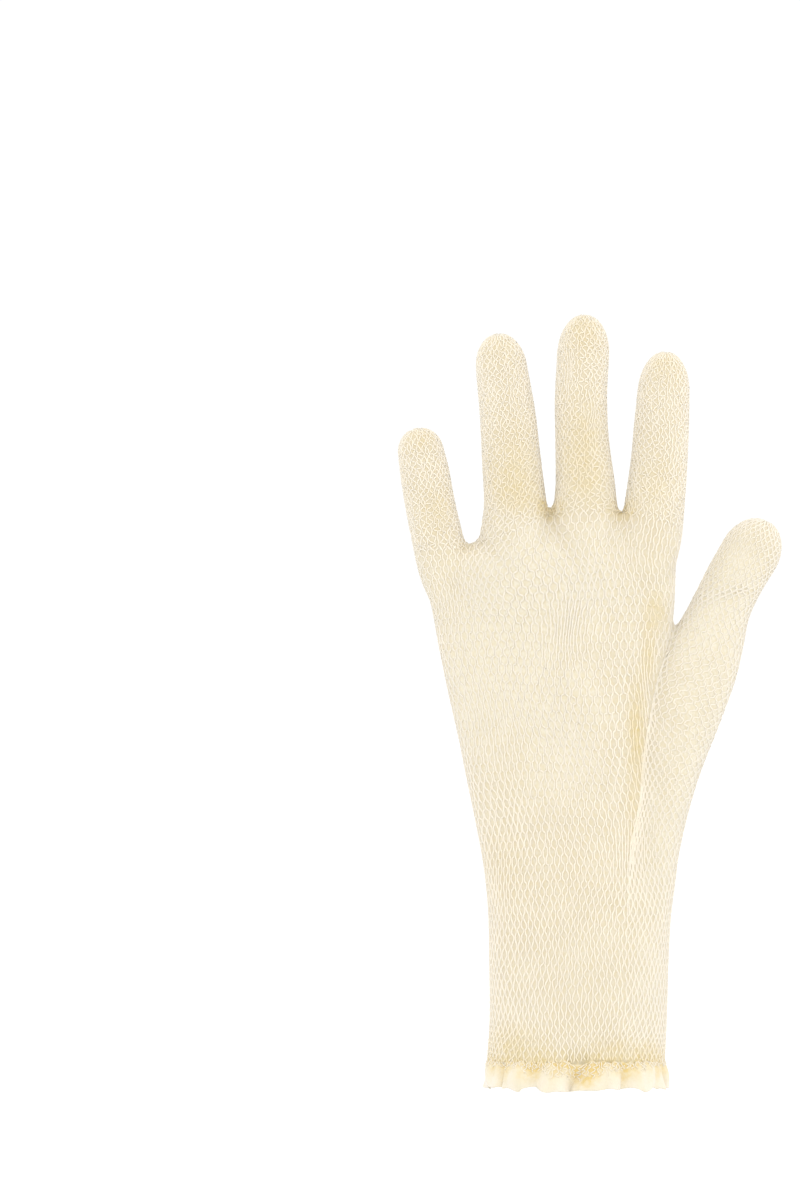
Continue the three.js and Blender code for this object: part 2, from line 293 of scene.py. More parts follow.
# Where the colour goes towards the warm one, yellower and darker: yellower fingertips and spots on
# the sleeve, and painted shade in the finger crotches, at the finger roots, in the valley beside
# the thumb and along the gather line; where negative, towards the pale one: painted light on the
# palm, thumb and sleeve. Columns: x, z, reach across, reach up, strength
WARM_SHADE_AND_LIGHT_SPOTS = np.array([
    # the fingertips, yellower
    [-53.6, 224, 7, 6, 0.25],
    [-26.4, 256, 7, 7, 0.25],
    [2.4, 260, 7, 9, 0.35],
    [30.8, 248, 7, 7, 0.30],
    [64.0, 190, 8, 6, 0.20],
    # painted shade in the finger crotches
    [-36.4, 184, 5, 4, 0.65],
    [-8.8, 197, 5, 4, 0.8],
    [15.3, 197, 5, 4, 0.7],
    # painted shade in the valley beside the thumb
    [26.8, 163, 5.5, 9, 0.75],
    [24.5, 147, 2.6, 8, 0.6],
    [21.0, 124, 3.2, 18, 0.65],
    [19.5, 96, 3.5, 24, 0.35],
    # painted shade in a crotch, and at the finger roots
    [-11.6, 199, 1.6, 1.6, 0.8],
    [-20.0, 202, 9, 9, 0.3],
    [4.0, 205, 9, 9, 0.2],
    [26.0, 206, 6, 10, 0.2],
    [2.0, 218, 8, 16, 0.35],
    [-21.0, 212, 8, 14, 0.30],
    [-47.0, 196, 6, 8, 0.30],
    # painted shade along the gather line, and yellower spots low on the sleeve
    [0.0, 10.2, 60, 2.4, 0.65],
    [-22.0, 16.0, 9, 6, 0.5],
    [12.0, 14.0, 9, 5, 0.4],
    [25.0, 14.0, 6, 5, 0.5],
    # painted light on the palm, thumb and sleeve
    [-12.0, 172, 26, 15, -1.0],
    [-36.0, 140, 12, 34, -0.5],
    [-8.0, 145, 40, 40, -0.35],
    [58.0, 180, 10, 12, -0.6],
    [-2.0, 116, 18, 20, -0.5],
    [-20.0, 140, 20, 16, -0.5],
    [48.0, 160, 14, 20, -0.9],
    [40.0, 122, 10, 22, -0.5],
    [31.0, 90, 8, 20, -0.5],
    [0.0, 40, 16, 14, -0.3],
    [26.0, 50, 8, 34, -0.5],
    # painted shade in the valley, and yellower spots on the sleeve
    [15.5, 124, 6, 22, 0.35],
    [-25.5, 80, 9, 14, 0.15],
    [24.5, 62, 7, 12, 0.3],
])
# Where the net hangs slack in upright lines, nearly closed: the same columns
SLACK_SPOTS = np.array([
    [-4.0, 157, 10, 11, 0.75],
    [17.5, 83, 7, 9, 0.75],
    [24.5, 186, 9, 12, 0.55],
    [-2.2, 245, 2.4, 8, 0.8],
    [5.3, 230, 2.6, 9, 0.8],
    [33.0, 224, 3.5, 22, 0.6],
    [54.0, 182, 7, 7, 0.45],
    [-26.5, 70, 5, 16, 0.5],
    [-24.0, 118, 8, 14, 0.4],
    [-44.0, 168, 8, 14, 0.5],
    [-34.0, 130, 6, 20, 0.35],
    [23.5, 142, 3, 12, 0.8],
    [21.0, 116, 3, 16, 0.6],
    [-20.5, 238, 3, 8, 0.5],
])
# Where the threads lie flat and broad, or thin out where negative: the same columns
BROAD_SPOTS = np.array([
    [-10.0, 168, 26, 17, 0.55],
    [0.0, 120, 44, 34, 0.15],
    [43.5, 167.0, 3.6, 1.7, 0.6],
    [49.5, 168.6, 3.6, 1.7, 0.6],
    [55.5, 170.4, 3.6, 1.7, 0.6],
    [54.0, 182, 8, 7, -0.3],
    [28.0, 160, 4.5, 6, -0.3],
])


def bell(points: Array, x: float, z: float, reach_x: float, reach_z: float) -> Array:
    """Gives 1 at a place and falls off round it, as e to minus the squared share of the reach."""
    away = ((points[..., 0] - x) / reach_x) ** 2 + ((points[..., 2] - z) / reach_z) ** 2
    return np.exp(-away)


def spread(table: Array, points: Array) -> Array:
    """Adds up the spots of a table.

    Formula: for each spot its bell times its strength.

    Args:
        table: A row for each spot: x, z, reach across, reach up, strength.
        points: Millimetres, with a last axis of x, y, z.

    Returns:
        One number for each point.
    """
    total = np.zeros(points.shape[:-1])
    for *spot, strength in table:
        total += strength * bell(points, *spot)
    return total


def linear_colour(code: str) -> tuple[float, float, float, float]:
    """Turns an sRGB colour into the linear values that a shader socket takes.

    Formula: the sRGB curve, a straight line for the darkest values and a power above them.

    Args:
        code: The colour as # and six hex digits.

    Returns:
        Red, green, blue and an alpha of 1.
    """
    parts = [int(code[place:place + 2], 16) / 255 for place in (1, 3, 5)]
    line = [part / 12.92 if part <= 0.04045 else ((part + 0.055) / 1.055) ** 2.4 for part in parts]
    return (*line, 1.0)


def add_node(tree: bpy.types.NodeTree, kind: str, values: dict | None = None,
             links: dict | None = None, **settings: object) -> bpy.types.Node:
    """Adds a node to a tree.

    Args:
        tree: The tree.
        kind: The node's type name.
        values: Numbers and colours for its inputs, by name or place.
        links: Outputs of other nodes for its inputs, by name or place.
        **settings: The node's own settings.

    Returns:
        The node.
    """
    node = tree.nodes.new(kind)
    for name, value in settings.items():
        setattr(node, name, value)
    for key, value in (values or {}).items():
        node.inputs[key].default_value = value
    for key, output in (links or {}).items():
        tree.links.new(output, node.inputs[key])
    return node


@dataclass(frozen=True)
class KnitFinish:
    """Cotton thread or knit: cream that goes yellow and darker in spots, partly painted shade, and
    paler where light is painted; a soft sheen and a relief of stitches.
    """

    name: str
    # the plain colour; the pale one, for the mottle and for painted light; the warm one, yellower and
    # darker, for yellowing and for the painted shade in spots and pits
    colour: str
    pale: str
    warm: str
    roughness: float
    sheen: float
    # the grain of the fibres, the stitches or twist, and the broad unevenness of the dye
    fibre_mm: float
    stitch_mm: float
    mottle_mm: float
    relief: float
    # how much darker the pits between the stitches are, towards the warm colour: painted shade
    pit_shade: float = 0.0
    # how far the mottle goes towards the pale colour, and the blotches' share of a spot's warmth, its
    # yellowing and painted shade
    lift: float = 0.35
    blotches: tuple[float, float] = (0.35, 1.5)
    # a stitch's width as a share of its height
    slimness: float = 0.7

    def material(self) -> bpy.types.Material:
        """Builds the material.

        Returns:
            A material whose colour runs from the plain to the pale one with a broad mottle and with
            the painted light of negative warmth, and to the warm one with the piece's positive
            warmth, yellowing and painted shade, and with the painted shade of the pits between
            stitches; its bump joins stitches and fibres.
        """
        material = bpy.data.materials.new(self.name)
        material.use_nodes = True
        tree = material.node_tree
        tree.nodes.clear()
        place = add_node(tree, "ShaderNodeTexCoord").outputs["Object"]
        # the piece's warmth: yellowing and painted shade where positive, painted light where negative
        spots = add_node(tree, "ShaderNodeAttribute", attribute_name="warmth").outputs["Fac"]
        # the mottle, the blotches, a quarter of its size, and the fibres
        broad, middling, fine = (
            add_node(tree, "ShaderNodeTexNoise", {"Scale": 1 / (size_mm * MM), "Detail": detail},
                     {"Vector": place}).outputs["Fac"]
            for size_mm, detail in (
                (self.mottle_mm, 2.0), (self.mottle_mm / 4, 2.0), (self.fibre_mm, 3.0)))
        tall = add_node(tree, "ShaderNodeMapping", {"Scale": (1.0, 1.0, self.slimness)},
                        {"Vector": place}).outputs["Vector"]
        stitches = add_node(tree, "ShaderNodeTexVoronoi", {"Scale": 1 / (self.stitch_mm * MM)},
                            {"Vector": tall}).outputs["Distance"]
        # what each pattern begins and ends at, and what that becomes
        lift, painted_light, blotch, depth = (
            add_node(tree, "ShaderNodeMapRange", {"From Min": low, "From Max": high,
                     "To Min": start, "To Max": end}, {"Value": value}).outputs["Result"]
            for value, low, high, start, end in (
                (broad, 0.38, 0.66, 0.0, self.lift),
                (spots, 0.0, -1.0, 0.0, 1.0),
                (middling, 0.3, 0.7, *self.blotches),
                (stitches, 0.25, 0.75, 0.0, self.pit_shade)))
        # paleness: the mottle and the painted light; warmness: the yellowing and painted shade, in
        # blotches
        paleness, warmness = (
            add_node(tree, "ShaderNodeMath", {}, {0: first, 1: second}, operation=operation,
                     use_clamp=True).outputs["Value"]
            for first, second, operation in (
                (lift, painted_light, "ADD"), (spots, blotch, "MULTIPLY")))
        colour = add_node(tree, "ShaderNodeMix",
                          {"A": linear_colour(self.colour), "B": linear_colour(self.pale)},
                          {"Factor": paleness}, data_type="RGBA").outputs["Result"]
        # towards the warm colour: first the spots' yellowing and painted shade, then the painted
        # shade in the pits
        for factor in (warmness, depth):
            colour = add_node(tree, "ShaderNodeMix", {"B": linear_colour(self.warm)},
                              {"Factor": factor, "A": colour}, data_type="RGBA").outputs["Result"]
        knitted = add_node(tree, "ShaderNodeBump",
                           {"Strength": self.relief, "Distance": self.stitch_mm * MM / 3},
                           {"Height": stitches}, invert=True).outputs["Normal"]
        normal = add_node(tree, "ShaderNodeBump",
                          {"Strength": self.relief, "Distance": self.fibre_mm * MM / 2},
                          {"Height": fine, "Normal": knitted}).outputs["Normal"]
        shader = add_node(tree, "ShaderNodeBsdfPrincipled", {
            "Roughness": self.roughness,
            "IOR": 1.5,
            "Specular IOR Level": 0.25,
            "Sheen Weight": self.sheen,
            "Sheen Roughness": 0.5,
        }, {"Base Color": colour, "Normal": normal})
        add_node(tree, "ShaderNodeOutputMaterial", links={"Surface": shader.outputs["BSDF"]})
        return material


# Mercerised cotton thread of the net: the lightest cream, with a slight silky sheen. Its twist is
# drawn as coarse as the thread is thick, or it wouldn't show
NET_THREAD = KnitFinish(
    "mercerised cotton net thread", colour="#f3ead8", pale="#eae2d2", warm="#e7d5a5",
    roughness=0.6, sheen=0.8, fibre_mm=0.15, stitch_mm=0.5, mottle_mm=9, relief=0.3)
# Fine cotton jersey seen in the net's cells: a deeper, slightly uneven cream, quite matte; the depth
# of its cream is in part painted shade of the cells. Its stitches are drawn coarser than the real
# ones, or they wouldn't show
GROUND_JERSEY = KnitFinish(
    "fine cotton jersey ground", colour="#d7cdb8", pale="#e5decc", warm="#d3c08b",
    roughness=0.9, sheen=0.8, fibre_mm=0.3, stitch_mm=0.9, mottle_mm=11, relief=0.5, pit_shade=0.3)
# Soft gathered cotton knit of the ruffle: cream, with yellow painted shade in the depth of its
# gathers and between its folds, and painted light on its crests and hem
RUFFLE_KNIT = KnitFinish(
    "gathered cotton ruffle knit", colour="#e6ddc5", pale="#ede4d6", warm="#ddc484",
    roughness=0.85, sheen=0.5, fibre_mm=0.3, stitch_mm=0.8, mottle_mm=6, relief=0.5, pit_shade=0.05)


@dataclass
class MeshParts:
    """Points and faces of one mesh, in millimetres, as they are gathered."""

    points: list[Array] = field(default_factory=list)
    faces: list[Array] = field(default_factory=list)
    count: int = 0

    def add(self, points: Array, *faces: Array) -> None:
        """Adds points and the faces between them.

        Args:
            points: Millimetres, with a last axis of x, y, z.
            *faces: Rows of corners, which count from the first of the points.
        """
        self.faces.extend(corners + self.count for corners in faces)
        self.points.append(points.reshape(-1, 3))
        self.count += self.points[-1].shape[0]

    def build(self, name: str, material: bpy.types.Material | None = None,
              warmth: Array | None = None) -> bpy.types.Object:
        """Makes the object.

        Args:
            name: The object's name.
            material: Its finish, where it has one.
            warmth: How yellow each point is, painted shade and painted light among it, where the
                spots of warmth, shade and light don't say it.

        Returns:
            A smooth shaded mesh object at the world's origin, with each point's warmth on it.
        """
        points = np.concatenate(self.points)
        loops = np.concatenate([faces.reshape(-1) for faces in self.faces])
        # how many corners each face has
        totals = np.concatenate([np.full(*faces.shape) for faces in self.faces])
        starts = np.concatenate([[0], np.cumsum(totals)[:-1]])
        mesh = bpy.data.meshes.new(name)
        mesh.vertices.add(len(points))
        mesh.vertices.foreach_set("co", (points * MM).astype(np.float32).ravel())
        mesh.loops.add(len(loops))
        mesh.loops.foreach_set("vertex_index", loops.astype(np.int32))
        mesh.polygons.add(len(totals))
        mesh.polygons.foreach_set("loop_start", starts.astype(np.int32))
        mesh.polygons.foreach_set("loop_total", totals.astype(np.int32))
        mesh.polygons.foreach_set("use_smooth", np.ones(len(totals), bool))
        mesh.update(calc_edges=True)
        mesh.validate()
        paint_warmth(mesh, spread(WARM_SHADE_AND_LIGHT_SPOTS, points) if warmth is None else warmth)
        piece = bpy.data.objects.new(name, mesh)
        bpy.context.scene.collection.objects.link(piece)
        if material:
            mesh.materials.append(material)
        return piece


def paint_warmth(mesh: bpy.types.Mesh, warmth: Array) -> None:
    """Stores how yellow each point is on the mesh, from -1, the palest, to 1; painted shade and light
    among it.
    """
    layer = mesh.attributes.new("warmth", "FLOAT", "POINT")
    layer.data.foreach_set("value", np.clip(warmth, -1, 1).astype(np.float32).ravel())


def read_points(mesh: bpy.types.Mesh) -> Array:
    """Reads a mesh's points.

    Args:
        mesh: The mesh, in metres.

    Returns:
        The points in millimetres, shape (n, 3).
    """
    flat = np.empty(len(mesh.vertices) * 3, np.float32)
    mesh.vertices.foreach_get("co", flat)
    return flat.reshape(-1, 3).astype(float) / MM


def grid_faces(rows: int, columns: int, closed: bool) -> Array:
    """Gives the four-sided faces of a grid of points.

    Args:
        rows: How many rows of points.
        columns: How many points in a row.
        closed: Whether each row runs back into its own start.

    Returns:
        A row of four corners for each face.
    """
    row = np.arange(rows - 1)[:, None] * columns
    column = np.arange(columns if closed else columns - 1)[None, :]
    after = (column + 1) % columns
    faces = [row + column, row + after, row + columns + after, row + columns + column]
    return np.stack(faces, axis=-1).reshape(-1, 4)


def closed_loft(parts: MeshParts, rings: Array) -> None:
    """Adds a closed body through rings of points, with a fan on each end.

    Args:
        parts: The mesh that takes it.
        rings: Millimetres, shape (rings, sides, 3).
    """
    rows, sides, _ = rings.shape
    ends = np.stack([rings[0].mean(axis=0), rings[-1].mean(axis=0)])
    side = np.arange(sides)
    after = (side + 1) % sides
    first = np.full(sides, rows * sides)
    last = (rows - 1) * sides
    start = np.stack([side, after, first], axis=1)
    end = np.stack([last + after, last + side, first + 1], axis=1)
    parts.add(np.concatenate([rings.reshape(-1, 3), ends]),
              grid_faces(rows, sides, True)[:, ::-1], np.concatenate([start, end]))


def modify(piece: bpy.types.Object, kind: str, **settings: object) -> None:
    """Adds a modifier to a piece.

    Args:
        piece: The piece.
        kind: The modifier's type.
        **settings: The modifier's own settings.
    """
    modifier = piece.modifiers.new(kind.lower(), kind)
    for name, value in settings.items():
        setattr(modifier, name, value)


def apply_modifiers(piece: bpy.types.Object) -> None:
    """Replaces a piece's mesh by what its modifiers make of it.

    Args:
        piece: The piece, which has no modifiers afterwards.
    """
    graph = bpy.context.evaluated_depsgraph_get()
    made = bpy.data.meshes.new_from_object(piece.evaluated_get(graph), depsgraph=graph)
    old = piece.data
    piece.modifiers.clear()
    piece.data = made
    bpy.data.meshes.remove(old)


def remove(piece: bpy.types.Object) -> None:
    """Takes a helper and its mesh out of the file.

    Args:
        piece: The helper.
    """
    mesh = piece.data
    bpy.data.objects.remove(piece)
    bpy.data.meshes.remove(mesh)


@dataclass
class HandForm:
    """The glove's outer form: the palm and sleeve with five digits, fused into one smooth skin."""

    # points round each body and sections up the palm
    sides: int = 96
    rows: int = 150
    # rings along a digit's body and over its tip, and the radians they keep from the tip's ends
    body_rings: int = 60
    tip_rings: int = 18
    tip_margin: float = 0.05
    # the size of the voxels, and how often and how much the skin is smoothed
    voxel: float = 0.9
    smoothing: int = 8
    smoothing_share: float = 0.5
    # how far the skin lies inside the solids, so that the net's threads reach their outline
    sunk: float = 0.35
    # up to where a surface counts as an edge and from where as a face, by how much of its
    # outward direction points to the front or back
    edge_facing: float = 0.45
    face_facing: float = 0.8
    skin: bpy.types.Object | None = None

    def palm(self, level: Array, angle: Array) -> Array:
        """Gives points on the palm and sleeve.

        Formula: at each level of the table, a superellipse between its left and right edge.

        Args:
            level: The place in the table, from 0 at the rim.
            angle: Radians from the thumb side towards the back of the hand.

        Returns:
            The points in millimetres, with a last axis of x, y, z.
        """
        row = eased(np.arange(len(HAND_SECTIONS)), HAND_SECTIONS, level)
        across, through = superellipse(angle, HAND_SQUARENESS)
        share = (1 + across) / 2
        return np.stack([
            row[..., 0] + (row[..., 2] - row[..., 0]) * share,
            -row[..., 4] * through,
            row[..., 1] + (row[..., 3] - row[..., 1]) * share,
        ], axis=-1)

    def build(self) -> None:
        """Makes the skin: closed bodies for the palm and each digit, fused and smoothed.

        Formula: the rings over a digit's tip stand at the sine of even turns, so that they lie
        close where it is most curved.
        """
        angle = np.linspace(0, 2 * math.pi, self.sides, endpoint=False)[None, :]
        level = np.linspace(0, len(HAND_SECTIONS) - 1, self.rows)[:, None]
        parts = MeshParts()
        palm = self.palm(level, angle)
        below = palm[:1] - np.array([0, 0, RIM_Z / 2])
        closed_loft(parts, np.concatenate([below, palm]))
        turn = np.linspace(self.tip_margin, math.pi / 2 - self.tip_margin, self.tip_rings)
        for digit in [THUMB, *FINGERS]:
            body = np.linspace(0, digit.body, self.body_rings)
            tip = digit.body + digit.tip_length * np.sin(turn)
            closed_loft(parts, digit.surface(np.concatenate([body, tip])[:, None], angle))
        self.skin = parts.build("form_skin")
        modify(self.skin, "REMESH", mode="VOXEL", voxel_size=self.voxel * MM,
               use_smooth_shade=True)
        modify(self.skin, "SMOOTH", factor=self.smoothing_share, iterations=self.smoothing)
        modify(self.skin, "DISPLACE", strength=-self.sunk * MM, mid_level=0.0)
        apply_modifiers(self.skin)

    def wrap(self, rows: Array) -> Array:
        """Lays rows of points on the skin.

        Formula: a point on a face goes straight through the hand's depth to the skin, one on an
        edge to the nearest place, and between them the blend, put on the skin once more.

        Args:
            rows: Millimetres, shape (rows, columns, 3).

        Returns:
            The moved rows.
        """
        out = unit(np.cross(np.gradient(rows, axis=1), np.gradient(rows, axis=0)))
        face = smooth_step(self.edge_facing, self.face_facing, np.abs(out[..., 1]))[..., None]
        edge = self.moved(rows, "NEAREST_SURFACEPOINT")
        through = self.moved(rows, "PROJECT")
        return self.moved(edge * (1 - face) + through * face, "NEAREST_SURFACEPOINT")

    def moved(self, rows: Array, way: str) -> Array:
        """Moves points to the skin.

        Args:
            rows: Millimetres, with a last axis of x, y, z.
            way: One of the ways of a Shrinkwrap modifier.

        Returns:
            The moved points, in the same shape.
        """
        mesh = bpy.data.meshes.new("wrap_points")
        mesh.from_pydata((rows.reshape(-1, 3) * MM).tolist(), [], [])
        thing = bpy.data.objects.new("wrap_points", mesh)
        bpy.context.scene.collection.objects.link(thing)
        modify(thing, "SHRINKWRAP", target=self.skin, wrap_method=way, use_project_y=True,
               use_negative_direction=True, use_positive_direction=True)
        apply_modifiers(thing)
        moved = read_points(thing.data).reshape(rows.shape)
        remove(thing)
        return moved


# Where the net is drawn together: x, z, reach across, reach up, squeeze across, squeeze up
DRAWN_SPOTS = np.array([
    [-4.0, 157, 9, 12, 0.22, 0.0],
    [-16.0, 170, 15, 16, -0.30, 0.0],
    [9.0, 128, 11, 18, -0.22, 0.0],
    [17.5, 84, 8, 12, 0.25, 0.0],
    [-22.0, 92, 9, 16, 0.18, 0.0],
    [44.0, 128, 7, 16, 0.15, 0.0],
    [43.5, 167.0, 3.5, 4, 0.0, 0.35],
    [49.5, 168.6, 3.5, 4, 0.0, 0.35],
    [55.5, 170.4, 3.5, 4, 0.0, 0.35],
    [-2.2, 245, 3, 9, 0.30, 0.0],
    [5.3, 230, 3, 9, 0.30, 0.0],
    [0.0, 20.0, 60, 7, 0.0, 0.25],
])
# How far the net wavers to the sides and sags, and its waves' lengths up and across, each
# divided by 2 pi
WAVER_MM = 0.4
WAVER_WAVES = ((5.3, 9.1), (8.7, -6.3))
SAG_MM = 0.8
SAG_WAVES = ((31, 8.3),)


def drawn(points: Array) -> Array:
    """Draws a net's points together at the drawn spots, and lets them waver.

    Formula: a point moves to a spot's middle by the squeeze times the spot's bell; the waver
    across is the sum of two slow sine waves of the place, and the sag one more.

    Args:
        points: Millimetres, with a last axis of x, y, z.

    Returns:
        The moved points.
    """
    moved = points.copy()
    for *spot, across, up in DRAWN_SPOTS:
        near = bell(points, *spot)
        moved[..., 0] -= (points[..., 0] - spot[0]) * across * near
        moved[..., 2] -= (points[..., 2] - spot[1]) * up * near
    for axis, size, waves in ((0, WAVER_MM, WAVER_WAVES), (2, SAG_MM, SAG_WAVES)):
        slow = sum(np.sin(points[..., 2] / up + points[..., 0] / across) for up, across in waves)
        moved[..., axis] += size * slow
    return moved


# What a table's length is lessened by, so that a row follows even the last place in it
PAST_LAST = 1.000001
# The share of its radius that a cord's closed ends narrow to
CORD_END = 0.35


@dataclass
class NetSheet:
    """A stretch of net: rows of points over the skin, and the threads that run up them."""

    name: str
    rows: Array
    # the course, a row of knots, that each row of points lies on
    courses: Array
    lines: int
    # how far the threads bow at each height, where 1 is straight from knot to knot: z, bow
    bow: Array = field(default_factory=lambda: np.array([[10, 1.3], [55, 1.7], [110, 3.0]]))
    thread: float = 0.25
    # how near two neighbours come at a knot, from 0 to 1, and how uneven the knots are
    closing: float = 0.6
    unrest: float = 0.1
    # how much of the closing is lost at most where the net hangs slack
    most_slack: float = 0.9
    # how much thicker the yarn is where it changes side
    crossing: float = 0.35
    # how far out the upper and the lower thread of a knot lie, in their radii
    over: float = 0.45
    under: float = 0.05
    # how yellow the threads are, where the spots of warmth, painted shade and painted light don't say
    # it
    warmth: float | None = None
    # points of a thread to one course, and corners of its rings
    steps: int = 4
    sides: int = 4
    seed: int = 5

    def __post_init__(self) -> None:
        """Stretches the courses to a whole number of them."""
        self.courses = self.courses * (round(self.courses[-1]) / self.courses[-1])

    def grid(self) -> Array:
        """Gives the courses of the points along every thread.

        Formula: an even count to the course, drawn to its half by a twelfth of a sine, so that
        with four of them three lie at the ends and the middle of a change of side.

        Returns:
            The courses, from 0 to the last.
        """
        even = np.arange(round(self.courses[-1]) * self.steps + 1) / self.steps
        return even + np.sin(2 * math.pi * even) / 12

    def normals(self) -> Array:
        """Gives the outward directions.

        Formula: the cross product of the runs round and up, turned away from the rows' middles.

        Returns:
            A direction of length 1 for each point of the rows.
        """
        out = unit(np.cross(np.gradient(self.rows, axis=1), np.gradient(self.rows, axis=0)))
        return out * np.sign((out * (self.rows - self.rows.mean(axis=1, keepdims=True))).sum())

    def read(self, table: Array, row: Array, share: Array) -> Array:
        """Reads a table of points between its rows and columns, straight from one to the next.

        Args:
            table: The points, shape (rows, columns, any).
            row: The places from row to row, held inside the table.
            share: The places across, from 0 to 1.

        Returns:
            What the table says there, in the shape of row with the table's last axis.
        """
        row = np.clip(row, 0, table.shape[0] - PAST_LAST)
        column = np.clip(share, 0, 1) * (table.shape[1] - PAST_LAST)
        r, c = row.astype(int), column.astype(int)
        u, v = (row - r)[..., None], (column - c)[..., None]
        low = table[r, c] * (1 - v) + table[r, c + 1] * v
        high = table[r + 1, c] * (1 - v) + table[r + 1, c + 1] * v
        return low * (1 - u) + high * u

    def shaken(self, course: Array, share: Array) -> tuple[Array, Array]:
        """Moves places on the sheet a little, the same for both threads of a knot.

        Args:
            course: The places' courses.
            share: The places' shares of the way across.

        Returns:
            The moved courses and shares.
        """
        count = int(self.courses[-1]) + 2
        table = np.random.default_rng(self.seed).normal(0, self.unrest, (count, self.lines + 1, 2))
        table[:, [0, -1], 0] = 0
        table[:, -1] = table[:, 0]
        move = self.read(table, course, share)
        return course + move[..., 1], share + move[..., 0] / self.lines

    def threads(self) -> tuple[Array, Array, Array]:
        """Lays the threads over all the courses.

        Formula: thread k runs up at the place k and a half of the way across, and swings to its
        left and right neighbour in turn, opposite to them, so that they meet at each knot. The
        swing is a triangle wave, cut flat by the bow, and weaker where the net hangs slack.

        Returns:
            The threads' middle points, the outward directions there, and their radii; the first
            two have the shape (threads, points, 3).
        """
        line = np.arange(self.lines)[:, None]
        course, line = np.broadcast_arrays(self.grid()[None, :], line)
        place = np.interp(course, self.courses, np.arange(len(self.courses)))
        middle = self.read(self.rows, place, (line + 0.5) / self.lines)
        slack = 1 - np.clip(spread(SLACK_SPOTS, middle), 0, self.most_slack)
        zigzag = 2 / math.pi * np.arcsin(np.cos(math.pi * (course + line)))
        swing = np.clip(zigzag * straight(self.bow, middle[..., 2]), -1, 1)
        share = (line + 0.5 + 0.5 * self.closing * swing * slack) / self.lines
        shaken, share = self.shaken(course, share)
        place = np.interp(shaken, self.courses, np.arange(len(self.courses)))
        points = self.read(self.rows, place, share)
        out = unit(self.read(self.normals(), place, share))
        radius = self.thread * (1 + spread(BROAD_SPOTS, points))
        radius *= 1 + self.crossing * (1 - np.abs(swing))
        raised = np.where((line + np.round(course)) % 2 == 0, self.over, self.under)
        return points + out * (radius * raised)[..., None], out, radius

    def build(self, material: bpy.types.Material, low: Array | float = 0.0,
              high: Array | float = math.inf, name: str = "",
              picked: Array | None = None) -> bpy.types.Object:
        """Makes threads into one piece of closed round cords.

        Args:
            material: Their finish.
            low: The course to begin at, the same for all threads or one for each.
            high: The course to end at, the same for all threads or one for each.
            name: The piece's name, where it isn't the sheet's own.
            picked: The threads that go into the piece, where it isn't all of them.

        Returns:
            The piece.
        """
        parts = MeshParts()
        middles, out, radius = self.threads()
        ends = np.stack(np.broadcast_arrays(low, high, np.zeros(self.lines))[:2])
        ends = np.round(np.clip(ends, 0, self.courses[-1]) * self.steps).astype(int)
        chosen = np.arange(self.lines) if picked is None else picked
        for first, last in np.unique(ends[:, chosen], axis=1).T:
            some = chosen[(ends[0, chosen] == first) & (ends[1, chosen] == last)]
            along = slice(first, last + 1)
            cords(parts, middles[some, along], out[some, along], radius[some, along], self.sides)
        warmth = None if self.warmth is None else np.full(parts.count, self.warmth)
        piece = parts.build(name or self.name, material, warmth)
        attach(piece, "root")
        LOG.info("%s: %d threads, %d faces", piece.name, len(chosen), len(piece.data.polygons))
        return piece


def rings_round(middles: Array, across: Array, out: Array, radius: Array,
                turn: Array) -> Array:
    """Gives a ring of points round each middle point.

    Formula: the middle plus the radius times the turn's cosine across and its sine outwards.

    Args:
        middles: Millimetres, with a last axis of x, y, z.
        across: The direction across the cord at each of them.
        out: The outward direction at each of them, or one for all.
        radius: Millimetres at each of them.
        turn: The ring's corners in radians.

    Returns:
        The points, with an axis for the corners before the last.
    """
    circle = np.cos(turn)[:, None] * across[..., None, :] + np.sin(turn)[:, None] * out[..., None, :]
    return middles[..., None, :] + circle * radius[..., None, None]


def cords(parts: MeshParts, middles: Array, out: Array, radius: Array, sides: int) -> None:
    """Adds closed round cords along rows of points.

    Formula: at each point a ring of the radius, in the plane of the outward direction and the
    one across the cord; both ends narrow and are closed.

    Args:
        parts: The mesh that takes them.
        middles: The cords' middle points, shape (cords, points, 3).
        out: The outward directions there.
        radius: Millimetres at each point, shape (cords, points).
        sides: Corners of the ring.
    """
    count, length, _ = middles.shape
    across = unit(np.cross(out, np.gradient(middles, axis=1)))
    turn = 2 * math.pi * (np.arange(sides) + 0.5) / sides
    size = radius.copy()
    size[:, [0, -1]] *= CORD_END
    each = length * sides
    caps = np.stack([np.arange(sides), each - sides + np.arange(sides)[::-1]])
    start = (np.arange(count) * each)[:, None, None]
    parts.add(rings_round(middles, across, out, size, turn),
              (grid_faces(length, sides, True)[None, :, ::-1] + start).reshape(-1, 4),
              (caps[None] + start).reshape(-1, sides))


def knuckle_line(x: Array) -> Array:
    """Gives the height at which the palm's net hands over to the fingers'."""
    return straight(KNUCKLE_LINE, x)


